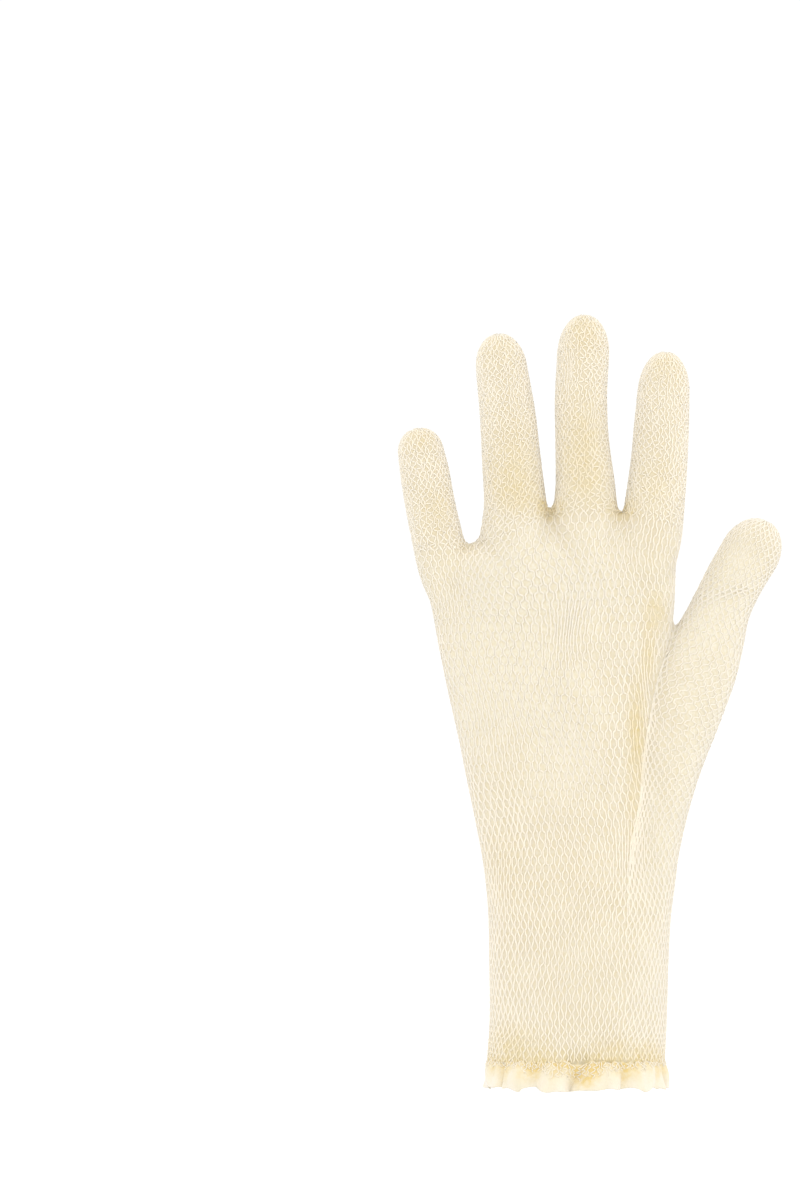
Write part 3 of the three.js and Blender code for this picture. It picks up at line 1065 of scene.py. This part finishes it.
@dataclass
class GloveNet:
    """The net over sleeve, palm and thumb: two sheets, which meet in a valley."""

    form: HandForm
    hand_lines: int = 140
    thumb_lines: int = 50
    unrest: float = 0.16
    # how much closer the thumb's threads lie at the valley than elsewhere, the heights between
    # which they draw together, and the one from which they part again
    crowding: float = 0.5
    crowding_z: tuple[float, float] = (60, 100)
    parting_z: float = 125
    # where the thumb's rows turn from the sleeve's section into rings round the thumb
    ring_z: tuple[float, float] = (58, 112)
    # from one row of points to the next, and from the rim to the first one
    spacing: float = 1.0
    rim_gap: float = 0.2
    columns: int = 260
    # points of a section, a ring and an upper row before they are spaced evenly
    samples: int = 500
    ring_samples: int = 721
    upper_samples: int = 900
    # the valley between palm and thumb mound, and where the thumb's threads begin below it: z, x
    valley: Array = field(default_factory=lambda: np.array([
        [10, 14.5], [40, 15.6], [75, 17.6], [98, 19.4], [118, 21.2],
        [138, 23.4], [146, 26.0], [153, 30.2], [157.1, 33.2],
    ]))
    # the distance from one course of knots to the next: z, millimetres
    course_steps: Array = field(default_factory=lambda: np.array([
        [10, 1.6], [18, 2.2], [30, 2.5], [70, 2.6], [100, 3.0], [140, 3.0], [158, 2.7],
    ]))
    thumb_steps: Array = field(default_factory=lambda: np.array([
        [10, 1.6], [18, 2.2], [30, 2.5], [70, 2.5], [105, 2.0], [158, 1.8],
    ]))
    # the palm above the parting: its courses, its rows, its first row in the hand's table, and
    # the least half depth
    upper_courses: int = 14
    upper_rows_count: int = 36
    upper_from: int = 9
    least_depth: float = 9.5
    # how far the palm's threads reach over the valley, and the heights over which that grows
    valley_overlap: float = 2.2
    overlap_z: tuple[float, float] = (55, 105)
    # where the thumb's net is drawn into a band, half its height, and how much finer it is beyond
    band_z: float = 168.6
    band_half: float = 2.0
    fine_share: float = 0.8
    # the rows over the thumb's tip: how many, the radians before the first, and the last's reach
    tip_rows: int = 14
    tip_margin: float = 0.02
    tip_share: float = 0.995

    def level(self, z: float) -> float:
        """Gives the place in the hand's table at a height."""
        return float(np.interp(z, HAND_SECTIONS[:, 1], np.arange(len(HAND_SECTIONS))))

    def valley_x(self, z: float) -> float:
        """Gives where the valley lies across the hand at a height."""
        return float(straight(self.valley, z))

    def valley_angle(self, z: float) -> float:
        """Gives the angle at which the palm's section crosses the valley.

        Formula: the superellipse's cosine, solved for the angle.

        Args:
            z: The height.

        Returns:
            Radians from the thumb side towards the back of the hand.
        """
        level = np.array(self.level(z))
        left, _, right, _, _ = eased(np.arange(len(HAND_SECTIONS)), HAND_SECTIONS, level)
        share = np.clip(2 * (self.valley_x(z) - left) / (right - left) - 1, -1, 1)
        return float(np.arccos(signed_power(share, HAND_SQUARENESS / 2)))

    def palm_row(self, z: float, start: float, end: float) -> Array:
        """Gives one row over the palm's section.

        Args:
            z: The height.
            start: The angle to begin at.
            end: The angle to end at.

        Returns:
            The row's points in millimetres, shape (columns, 3).
        """
        angle = np.linspace(start, end, self.samples)
        return evenly(self.form.palm(np.full(angle.shape, self.level(z)), angle), self.columns)

    def thumb_row(self, z: float, blend: float) -> Array:
        """Gives one row of the thumb's sheet, from the valley in front round to that at the back.

        Formula: low down, the sleeve's own section; further up, a ring round the thumb that
        crosses the valley; between them, the blend of the two. Where the threads crowd at the
        valley, a sine draws the points towards both ends.

        Args:
            z: The height of the row's ends.
            blend: 0 for the sleeve's section, 1 for the thumb's ring.

        Returns:
            The row's points in millimetres, shape (columns, 3).
        """
        start = self.valley_angle(z)
        side = self.palm_row(z, start, -start)
        along = THUMB.reached(z)
        turn = np.linspace(math.pi, -math.pi, self.ring_samples)
        for _ in range(2):
            ring = THUMB.surface(np.full(turn.shape, along), turn)
            # at least the last millimetre of the ring counts as beyond the valley
            kept = ring[ring[:, 0] >= min(self.valley_x(z), ring[:, 0].max() - 1)]
            along += z - kept[0, 2]
        even = np.linspace(0, 1, self.columns)
        drawn_in = smooth_step(*self.crowding_z, z) * (1 - smooth_step(self.parting_z, CROTCH_Z, z))
        sway = self.crowding * drawn_in * np.sin(2 * math.pi * even) / (2 * math.pi)
        both = side * (1 - blend) + evenly(kept, self.columns) * blend
        return np.stack([np.interp(even - sway, even, both[:, axis]) for axis in range(3)], axis=1)

    def counted(self, levels: Array, steps: Array) -> Array:
        """Counts the courses.

        Args:
            levels: Rising heights.
            steps: A row for each height and the distance between two courses there.

        Returns:
            The course at each of the levels, from 0.
        """
        return np.concatenate([[0.0], np.cumsum(np.diff(levels) / straight(steps, levels)[1:])])

    def build(self, thread: bpy.types.Material) -> None:
        """Makes both sheets' threads; the hand's right of the valley begin where they leave it.

        Args:
            thread: The threads' finish.
        """
        levels = np.arange(RIM_Z + self.rim_gap, CROTCH_Z, self.spacing)
        tube, tube_courses = self.thumb_tube()
        hand, thumb, upper, tube = (self.form.wrap(drawn(np.array(rows))) for rows in (
            [self.palm_row(z, 0.0, 2 * math.pi) for z in levels],
            [self.thumb_row(z, float(smooth_step(*self.ring_z, z))) for z in levels],
            self.upper_rows(),
            tube,
        ))
        courses = self.counted(levels, self.course_steps)
        above = courses[-1] + np.linspace(0, self.upper_courses, len(upper) + 1)[1:]
        thumb_courses = self.counted(levels, self.thumb_steps)
        whole = NetSheet("hand_net", np.concatenate([hand, upper]),
                         np.concatenate([courses, above]), self.hand_lines,
                         unrest=self.unrest, seed=3)
        begin = self.begin(whole, levels)
        order = np.roll(np.arange(self.hand_lines), self.hand_lines // 4)
        half = self.hand_lines // 2
        whole.build(thread, begin, name="thumb_side_net", picked=order[:half])
        whole.build(thread, begin, name="little_side_net", picked=order[half:])
        NetSheet("thumb_net", np.concatenate([thumb, tube]),
                 np.concatenate([thumb_courses, thumb_courses[-1] + tube_courses]),
                 self.thumb_lines, unrest=self.unrest, seed=4).build(thread)

    def begin(self, whole: NetSheet, levels: Array) -> Array:
        """Gives the course at which each of the hand's threads comes out of the valley.

        Formula: the last level at which the thread lies right of the valley, or the first course
        for a thread that never does.

        Args:
            whole: The hand's sheet.
            levels: The heights of its rows up to the thumb's parting.

        Returns:
            One course for each thread.
        """
        rows = np.arange(len(levels))[:, None]
        share = (np.arange(whole.lines)[None, :] + 0.5) / whole.lines
        rows, share = np.broadcast_arrays(rows.astype(float), share)
        x = whole.read(whole.rows, rows, share)[..., 0]
        overlap = self.valley_overlap * smooth_step(*self.overlap_z, levels)
        hidden = x > (straight(self.valley, levels) + overlap)[:, None]
        last = np.where(hidden, rows, 0).max(axis=0)
        return np.interp(last, np.arange(len(levels)), whole.courses[:len(levels)])

    def upper_rows(self) -> Array:
        """Gives the palm's rows from the thumb's parting up to the fingers.

        Formula: each row rises at every x by the same share of the way to the knuckle line; as
        the palm's edges lean with the height, each row is found in four rounds.

        Returns:
            The rows in millimetres, closed round the hand, shape (rows, columns, 3).
        """
        angle = np.linspace(0, 2 * math.pi, self.upper_samples)
        across, through = superellipse(angle, HAND_SQUARENESS)
        share = (1 + across) / 2
        depths = HAND_SECTIONS[self.upper_from:, [1, 4]]
        rows = []
        for rise in np.linspace(0, 1, self.upper_rows_count + 1)[1:]:
            z = np.full(angle.shape, CROTCH_Z + (KNUCKLE_LINE[:, 1].mean() - CROTCH_Z) * rise)
            for _ in range(4):
                left, right = straight(UPPER_LEFT, z), straight(UPPER_RIGHT, z)
                x = left + (right - left) * share
                z = CROTCH_Z + (knuckle_line(x) - CROTCH_Z) * rise
            depth = np.maximum(straight(depths, z), self.least_depth)
            rows.append(evenly(np.stack([x, -depth * through, z], axis=1), self.columns))
        return np.array(rows)

    def thumb_tube(self) -> tuple[Array, Array]:
        """Gives the thumb's rows above the crotch.

        Returns:
            The rows in millimetres, closed round the thumb, and their courses, which lie closer
            past the band than before it.
        """
        start = THUMB.reached(CROTCH_Z)
        body = np.arange(start + self.spacing, THUMB.body, self.spacing)
        turn = np.linspace(self.tip_margin, math.asin(self.tip_share), self.tip_rows)
        along = np.concatenate([body, THUMB.body + THUMB.tip_length * np.sin(turn)])
        angle = np.linspace(math.pi, -math.pi, self.columns * 2)
        rows = [evenly(THUMB.surface(np.full(angle.shape, a), angle), self.columns) for a in along]
        heights = THUMB.surface(along, math.pi / 2)[:, 2]
        finer = smooth_step(self.band_z - self.band_half, self.band_z + self.band_half, heights)
        step = THUMB.course * (1 - (1 - self.fine_share) * finer)
        return np.array(rows), np.cumsum(np.diff(along, prepend=start) / step)


@dataclass
class FingerNet:
    """The net of one finger, a closed tube from its base line to the tip."""

    form: HandForm
    digit: Digit
    columns: int = 160
    row_step: float = 0.9
    tip_share: float = 0.995
    bow: Array = field(default_factory=lambda: np.array([[180, 2.2]]))
    # finer thread than the palm's, in closer and more uneven knots
    thread: float = 0.23
    closing: float = 0.66
    unrest: float = 0.36
    # how far the finger's threads begin below the end of the palm's
    overlap: float = 1.2
    seed: int = 11

    def sheet(self) -> NetSheet:
        """Makes the finger's rows.

        Formula: each point goes the same share of its way from the knuckle line to the tip, so
        that the rows slant with the line at first and are square to the finger at the end.

        Returns:
            The sheet, whose threads aren't made yet.
        """
        digit = self.digit
        angle = np.linspace(math.pi, -math.pi, self.columns * 2)
        start = digit.start_of_net(angle) - self.overlap
        last = digit.body + digit.tip_length * self.tip_share
        share = np.linspace(0, 1, int((last - start.min()) / self.row_step))
        rows = [evenly(digit.surface(start + (last - start) * u, angle), self.columns) for u in share]
        courses = share * (last - float(start.mean())) / digit.course
        return NetSheet(f"{digit.name}_net", self.form.wrap(drawn(np.array(rows))), courses,
                        digit.lines, self.bow, thread=self.thread, closing=self.closing,
                        unrest=self.unrest, seed=self.seed + len(digit.name))


# The ruffle's folds from the left edge over the back of the hand: share, crest, lift
FOLDS = np.array([
    [17, 1.5, 0.3],
    [9, 2.3, 0.9],
    [14, 1.6, 0.1],
    [10, 2.4, 0.7],
    [16, 1.8, 0.2],
    [11, 1.7, 0.6],
    [15, 1.4, 0.2],
    [10, 2.1, 0.7],
    [14, 2.3, 0.1],
    [9, 1.8, 0.8],
    [15, 2.2, 0.1],
    [12, 2.0, 0.5],
])


class Waves(Enum):
    """How often the slowest and the fastest wave of an unevenness go round the ruffle."""

    SLANT = (3, 16)
    DEPTH = (3, 14)
    HEM = (4, 25)
    STAIN = (5, 40)
    NET_END = (7, 60)
    CRUMPLE = (8, 38)
    GATHER = (13, 50)


def bump(turn: Array, middle: float, reach: float) -> Array:
    """Gives 1 at a place round the band and falls off, as e to minus the share squared."""
    return np.exp(-(((turn - middle) / reach) ** 2))


# The shares of the way round at the middle of the back of the hand and near that of the palm
BACK_TURN = 0.25
PALM_TURN = 0.72


@dataclass
class CuffRuffle:
    """The frill below the rim: a gathered band of knit."""

    # half the width and half the depth at the gather line, and the heights of that and the hem
    half_width: float = 30.3
    depth: float = 20.0
    top: float = 10.6
    hem: float = 1.3
    # how far the hem stands out as a whole, and how far the band goes in as a whole
    flare: float = 0.7
    inset: float = 0.5
    # how far the gathers go in, the share of it that is even, and that which isn't
    pinch: float = 2.3
    pinch_even: float = 0.65
    pinch_uneven: float = 0.3
    # how far the folds lean to one side in turn, in shares of the way round, what of that is
    # even and uneven, and the radians that the uneven part goes on by from fold to fold
    lean: float = 0.008
    lean_even: float = 0.6
    lean_uneven: float = 0.4
    lean_step: float = 3.0
    # how far the folds slant, in shares of the way round
    slant: float = 0.024
    # the powers of the fall by which the lean and the folds grow, and that of a fold's roundness
    lean_power: float = 0.8
    fold_power: float = 0.7
    roundness: float = 1.2
    # how far a fold's middle puffs out, and how much of that its hem tucks in and lifts
    puff: float = 1.0
    tuck: float = 0.8
    hem_lift: float = 0.2
    # small crumples and the share of them at the top; the waves of the hem and the gather line
    crumple: float = 0.65
    crumple_top: float = 0.35
    hem_wave: float = 0.6
    gather_wave: float = 0.45
    # the painted shade, yellow, at the gathers and the power by which that fades downwards; the
    # painted shade in the gaps between the folds, the painted light on the crests, and how both fade;
    # the painted light on the hem; how uneven all that is, and the mark at the middle of the back
    gather_shade: float = 0.9
    gather_power: float = 1.4
    fold_gap_shade: float = 0.5
    crest_light: float = 0.8
    fading: float = 0.3
    hem_light: float = 0.4
    stain: float = 0.2
    mark: float = 0.4
    mark_reach: float = 0.05
    # from one wave of an unevenness to the next, and how far each drifts down the band
    wave_step: int = 5
    drift: float = 4.5
    # how thick it is, the points round it and the rows down it
    cloth: float = 0.5
    steps: int = 560
    rows: int = 26
    seed: int = 5

    def rough(self, turn: Array, fall: Array | float, waves: Waves) -> Array:
        """Gives a seeded unevenness, smooth and closed round the band.

        Formula: the sum of sines that go round a whole number of times between the slowest and
        the fastest, each with its own phase, which drifts with the fall.

        Args:
            turn: The share of the way round.
            fall: The share of the way down.
            waves: How often the waves go round.

        Returns:
            About -1 to 1 at each place.
        """
        slowest, fastest = waves.value
        dice = np.random.default_rng(self.seed + slowest)
        total = np.zeros(np.broadcast(turn, fall).shape)
        for turns in range(slowest, fastest, self.wave_step):
            phase, drift = dice.uniform(0, 2 * math.pi), dice.uniform(-self.drift, self.drift)
            total = total + np.sin(2 * math.pi * turns * turn + phase + drift * fall)
        return total / math.sqrt((fastest - slowest) / self.wave_step)

    def surface(self, turn: Array, fall: Array) -> Array:
        """Gives points on the band.

        Formula: out from the rim's superellipse by the flare, the fold, its puff and the
        crumple; round by the fold's lean; down by the fall, less the fold's lift, with a wavy
        hem. A fold slants, lies unevenly deep and grows with the fall; the waves of the hem and
        of the gather line fade with the square of the way to the other edge.

        Args:
            turn: The share of the way round, from the left edge over the back of the hand.
            fall: The share of the way down, from 0 at the gather line to 1 at the hem.

        Returns:
            The points in millimetres, with a last axis of x, y, z.
        """
        turn, fall = np.broadcast_arrays(turn, fall)
        swell, place = self.fold(turn + self.slant * self.rough(turn, 0.0, Waves.SLANT) * fall)
        crest, lift = FOLDS[place, 1], FOLDS[place, 2]
        side = np.where(place % 2 == 0, 1.0, -1.0)
        side = side * (self.lean_even + self.lean_uneven * np.sin(self.lean_step * place))
        turned = turn + self.lean * side * swell * fall**self.lean_power
        depth = self.pinch * (
            self.pinch_even + self.pinch_uneven * self.rough(turn, 0.0, Waves.DEPTH))
        out = self.flare * fall + fall**self.fold_power * ((crest + depth) * swell - depth)
        out = out + self.puff * lift * swell * (np.sin(math.pi * fall) - self.tuck * fall**3)
        growth = self.crumple_top + (1 - self.crumple_top) * fall
        out = out + self.crumple * self.rough(turn, fall, Waves.CRUMPLE) * growth - self.inset
        across, through = superellipse(math.pi - 2 * math.pi * turned, HAND_SQUARENESS)
        hem = self.hem_wave * self.rough(turn, 0.0, Waves.HEM) * fall**2
        z = self.top - fall * (self.top - self.hem - self.hem_lift * lift * swell) + hem
        z = z + self.gather_wave * self.rough(turn, 0.0, Waves.GATHER) * (1 - fall) ** 2
        return np.stack([
            (self.half_width + out) * across, -(self.depth + out) * through, z,
        ], axis=-1)

    def fold(self, turn: Array) -> tuple[Array, Array]:
        """Finds places on their folds.

        Formula: each fold swells as a power of half a sine wave over its share of the way round.

        Args:
            turn: The share of the way round.

        Returns:
            How far out each place is on its fold, from 0 to 1, and which fold it is.
        """
        ends = np.cumsum(FOLDS[:, 0]) / FOLDS[:, 0].sum()
        starts = np.concatenate([[0.0], ends[:-1]])
        place = np.clip(np.searchsorted(ends, turn % 1.0, side="right"), 0, len(FOLDS) - 1)
        within = (turn % 1.0 - starts[place]) / (ends - starts)[place]
        return np.sin(math.pi * within) ** self.roundness, place

    def warmth(self, turn: Array, fall: Array) -> Array:
        """Says how yellow the band is: most in the gathers at the top and between the folds.

        Formula: the sum of the gathers' painted shade, which fades as a power of the way to the hem,
        the gaps' painted shade, less the crests' painted light, and seeded stains with the mark; off
        it comes the hem's painted light times the fall.

        Args:
            turn: The share of the way round.
            fall: The share of the way down.

        Returns:
            The warmth at each place.
        """
        swell, _ = self.fold(turn + 0 * fall)
        # painted shade at the gathers and between the folds, less the painted light on the crests;
        # the hem's painted light comes off below
        gather = self.gather_shade * (1 - fall) ** self.gather_power
        folds = (self.fold_gap_shade - self.crest_light * swell) * (1 - self.fading * fall)
        uneven = self.stain * self.rough(turn, fall, Waves.STAIN)
        uneven = uneven + self.mark * bump(turn, BACK_TURN, self.mark_reach)
        return gather + folds + uneven - self.hem_light * fall

    def build(self, material: bpy.types.Material) -> None:
        """Makes the ruffle.

        Args:
            material: The knit's finish.
        """
        turn = np.linspace(0, 1, self.steps, endpoint=False)[None, :]
        fall = np.linspace(0, 1, self.rows)[:, None]
        points = self.surface(turn, fall)
        parts = MeshParts()
        parts.add(points, grid_faces(self.rows, self.steps, True)[:, ::-1])
        piece = parts.build("ruffle", material, self.warmth(turn, fall))
        modify(piece, "SOLIDIFY", thickness=self.cloth * MM, offset=0.0)
        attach(piece, "root")
        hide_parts("cuff_ruffle")


@dataclass
class GatherLine:
    """What lies over the top of the ruffle: its gathering thread and the net's loose ends."""

    ruffle: CuffRuffle
    # the gathering thread: its points, its sides and how far down the band it lies
    points: int = 900
    sides: int = 6
    fall: float = 0.02
    # how often and how far it goes up and down, and how thick it is between and at its bulges
    puckers: int = 53
    pucker: float = 0.35
    radius: float = 0.3
    bulges: int = 110
    bulge: float = 0.16
    warmth: float = 0.55
    # the net's ends: their count, the rows and columns under them, how far down those reach, how
    # many courses that is, and how far off the band the ends lie
    lines: int = 160
    rows: int = 18
    columns: int = 420
    reach: float = 0.72
    courses: int = 7
    lifted: float = 0.3
    # the ends' lengths in courses: the usual one, what the middles add, what is uneven, the
    # shortest and the longest; how far the ends bow; and how far the middles reach
    usual: float = 1.3
    longer: float = 4.0
    uneven: float = 1.1
    shortest: float = 0.8
    longest: float = 6.4
    bow: float = 1.6
    back_reach: float = 0.055
    palm_reach: float = 0.05

    def gathering(self, material: bpy.types.Material) -> None:
        """Lays the closed cord that draws the band in, a row of small puckers, along its top.

        Formula: the cord follows the band and goes up and down as a sine; its radius swells as
        the size of another.

        Args:
            material: The cord's finish.
        """
        turn = np.linspace(0, 1, self.points, endpoint=False)
        points = self.ruffle.surface(turn, np.full(turn.shape, self.fall))
        points[:, 2] += self.pucker * np.sin(2 * math.pi * self.puckers * turn)
        up = np.array([0.0, 0.0, 1.0])
        around = unit(np.roll(points, -1, axis=0) - np.roll(points, 1, axis=0))
        corners = 2 * math.pi * np.arange(self.sides) / self.sides
        size = self.radius + self.bulge * np.abs(np.sin(math.pi * turn * self.bulges))
        parts = MeshParts()
        # the last ring's faces run back into the first ring
        faces = grid_faces(self.points + 1, self.sides, True) % (self.points * self.sides)
        parts.add(rings_round(points, unit(np.cross(around, up)), up, size, corners), faces)
        piece = parts.build("gather_thread", material, np.full(parts.count, self.warmth))
        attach(piece, "root")
        LOG.info("gather_thread: %d faces", len(piece.data.polygons))

    def net_ends(self, thread: bpy.types.Material) -> None:
        """Lays the ends of the net's threads over the top of the band, longest at the middles.

        Formula: a sheet of net over the band; each thread ends after the usual length, plus a
        bell round both middles and a seeded unevenness.

        Args:
            thread: The threads' finish.
        """
        turn = np.linspace(0, 1, self.columns)[None, :]
        fall = np.linspace(0, self.reach, self.rows)[:, None]
        courses = np.linspace(0, self.courses, self.rows)
        bow = np.array([[self.ruffle.top, self.bow]])
        sheet = NetSheet("net_ends", self.ruffle.surface(turn, fall), courses, self.lines, bow,
                         thread=0.18, unrest=0.3, warmth=0.2, seed=8)
        sheet.rows = sheet.rows + sheet.normals() * self.lifted
        place = (np.arange(self.lines) + 0.5) / self.lines
        middle = bump(place, BACK_TURN, self.back_reach) + bump(place, PALM_TURN, self.palm_reach)
        uneven = np.abs(self.ruffle.rough(place, 0.0, Waves.NET_END))
        length = self.usual + self.longer * middle + self.uneven * uneven
        sheet.build(thread, 0.0, np.clip(length, self.shortest, self.longest))


@dataclass
class Ground:
    """The fine knit that shows in the cells of the net: one thin wall over the whole glove."""

    form: HandForm
    # how thick it is, and the share of the skin's faces that is kept
    wall: float = 0.6
    kept: float = 0.42

    def build(self) -> bpy.types.Object:
        """Opens the skin at the rim and gives it its thickness, inwards.

        Returns:
            The ground, which stands for the hand's solid and the digits'.
        """
        mesh = self.form.skin.data.copy()
        mesh.name = "ground"
        piece = bpy.data.objects.new("ground", mesh)
        bpy.context.scene.collection.objects.link(piece)
        modify(piece, "DECIMATE", ratio=self.kept)
        apply_modifiers(piece)
        mesh = piece.data
        open_below(mesh, RIM_Z)
        paint_warmth(mesh, spread(WARM_SHADE_AND_LIGHT_SPOTS, read_points(mesh)))
        mesh.materials.clear()
        mesh.materials.append(GROUND_JERSEY.material())
        modify(piece, "SOLIDIFY", thickness=self.wall * MM, offset=-1.0)
        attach(piece, "root")
        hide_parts("hand", "thumb", *[digit.name for digit in FINGERS])
        LOG.info("ground: %d faces", len(mesh.polygons))
        return piece


def open_below(mesh: bpy.types.Mesh, height: float) -> None:
    """Cuts a mesh level and drops what lies below.

    Args:
        mesh: The mesh, in metres.
        height: Where to cut, in millimetres.
    """
    shape = bmesh.new()
    shape.from_mesh(mesh)
    everything = [*shape.verts, *shape.edges, *shape.faces]
    bmesh.ops.bisect_plane(shape, geom=everything, plane_co=(0, 0, height * MM),
                           plane_no=(0, 0, -1), clear_outer=True)
    for face in shape.faces:
        face.smooth = True
    shape.to_mesh(mesh)
    shape.free()


@dataclass
class Studio:
    """The pale floor, the soft light and a long lens, level with the glove and in front of it."""

    lens: float = 200.0
    sensor: float = 36.0
    # the height of the picture at the glove and its middle, and how far off is still seen
    frame_height: float = 408.0
    aim_x: float = -59.8
    aim_z: float = 166.6
    sight_m: float = 50.0
    floor_drop: float = 45.0
    floor_half: float = 30000.0
    board_roughness: float = 0.9
    # the sun's strength, its breadth in degrees and its place in metres
    sun: float = 0.55
    sun_breadth: float = 50.0
    sun_place: tuple[float, float, float] = (-0.15, -1.5, 1.3)
    lamp_size: float = 1.4
    # name, place in metres, watts
    lamps: tuple = (
        ("left", (-1.6, -0.5, 0.3), 1.2),
        ("right", (1.6, -0.5, 0.3), 4.5),
        ("top", (0.0, 0.3, 2.2), 3.0),
    )
    # the middle of the glove in metres, which the lights are turned to
    lit: tuple[float, float, float] = (0, 0, 0.13)
    world_strength: float = 1.05

    def build(self) -> None:
        """Makes all of it."""
        self.camera()
        self.floor()
        self.lights()
        self.world()

    def camera(self) -> None:
        """Places the camera level with the middle of the picture, looking along +Y."""
        data = bpy.data.cameras.new("camera")
        data.lens = self.lens
        data.sensor_width = self.sensor
        data.clip_end = self.sight_m
        camera = bpy.data.objects.new("camera", data)
        distance = self.lens / self.sensor * self.frame_height
        camera.location = (self.aim_x * MM, -distance * MM, self.aim_z * MM)
        camera.rotation_euler = (math.pi / 2, 0, 0)
        bpy.context.scene.collection.objects.link(camera)
        bpy.context.scene.camera = camera

    def floor(self) -> None:
        """Lays a wide pale floor well below the hem, because the glove isn't standing on it."""
        half, z = self.floor_half, -self.floor_drop
        parts = MeshParts()
        corners = np.array([[-half, -half, z], [half, -half, z], [half, half, z], [-half, half, z]])
        parts.add(corners, np.array([[0, 1, 2, 3]]))
        material = bpy.data.materials.new("white matte board")
        material.use_nodes = True
        shader = material.node_tree.nodes["Principled BSDF"]
        shader.inputs["Base Color"].default_value = linear_colour("#fdfdfc")
        shader.inputs["Roughness"].default_value = self.board_roughness
        piece = parts.build("floor", material)

    def lights(self) -> None:
        """Hangs one broad sun as the key and three soft lamps: on the left, right and above."""
        sun = bpy.data.lights.new("key", "SUN")
        sun.energy = self.sun
        sun.angle = math.radians(self.sun_breadth)
        self.hang("key", sun, self.sun_place)
        for name, place, power in self.lamps:
            lamp = bpy.data.lights.new(name, "AREA")
            lamp.size = self.lamp_size
            lamp.energy = power
            self.hang(name, lamp, place)

    def hang(self, name: str, data: bpy.types.Light, place: tuple[float, float, float]) -> None:
        """Puts a light at a place, turned to the middle of the glove.

        Args:
            name: The light's name.
            data: What it shines with.
            place: Metres.
        """
        lamp = bpy.data.objects.new(name, data)
        lamp.location = place
        lamp.rotation_mode = "QUATERNION"
        towards = Vector(self.lit) - Vector(place)
        lamp.rotation_quaternion = towards.to_track_quat("-Z", "Y")
        bpy.context.scene.collection.objects.link(lamp)

    def world(self) -> None:
        """Surrounds the scene with even white light."""
        world = bpy.data.worlds.new("white studio")
        bpy.context.scene.world = world
        world.use_nodes = True
        tree = world.node_tree
        tree.nodes.clear()
        light = add_node(tree, "ShaderNodeBackground",
                         {"Color": (1, 1, 1, 1), "Strength": self.world_strength})
        add_node(tree, "ShaderNodeOutputWorld", links={"Surface": light.outputs["Background"]})
        bpy.context.scene.view_settings.view_transform = "Standard"


def main() -> None:
    """Dresses the glove, piece by piece."""
    logging.basicConfig(level=logging.INFO, format="%(name)s: %(message)s")
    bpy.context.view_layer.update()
    Studio().build()
    form = HandForm()
    form.build()
    Ground(form).build()
    thread = NET_THREAD.material()
    GloveNet(form).build(thread)
    for digit in FINGERS:
        FingerNet(form, digit).sheet().build(thread)
    ruffle = CuffRuffle()
    knit = RUFFLE_KNIT.material()
    ruffle.build(knit)
    line = GatherLine(ruffle)
    line.gathering(knit)
    line.net_ends(thread)
    remove(form.skin)


if __name__ == "__main__":
    main()
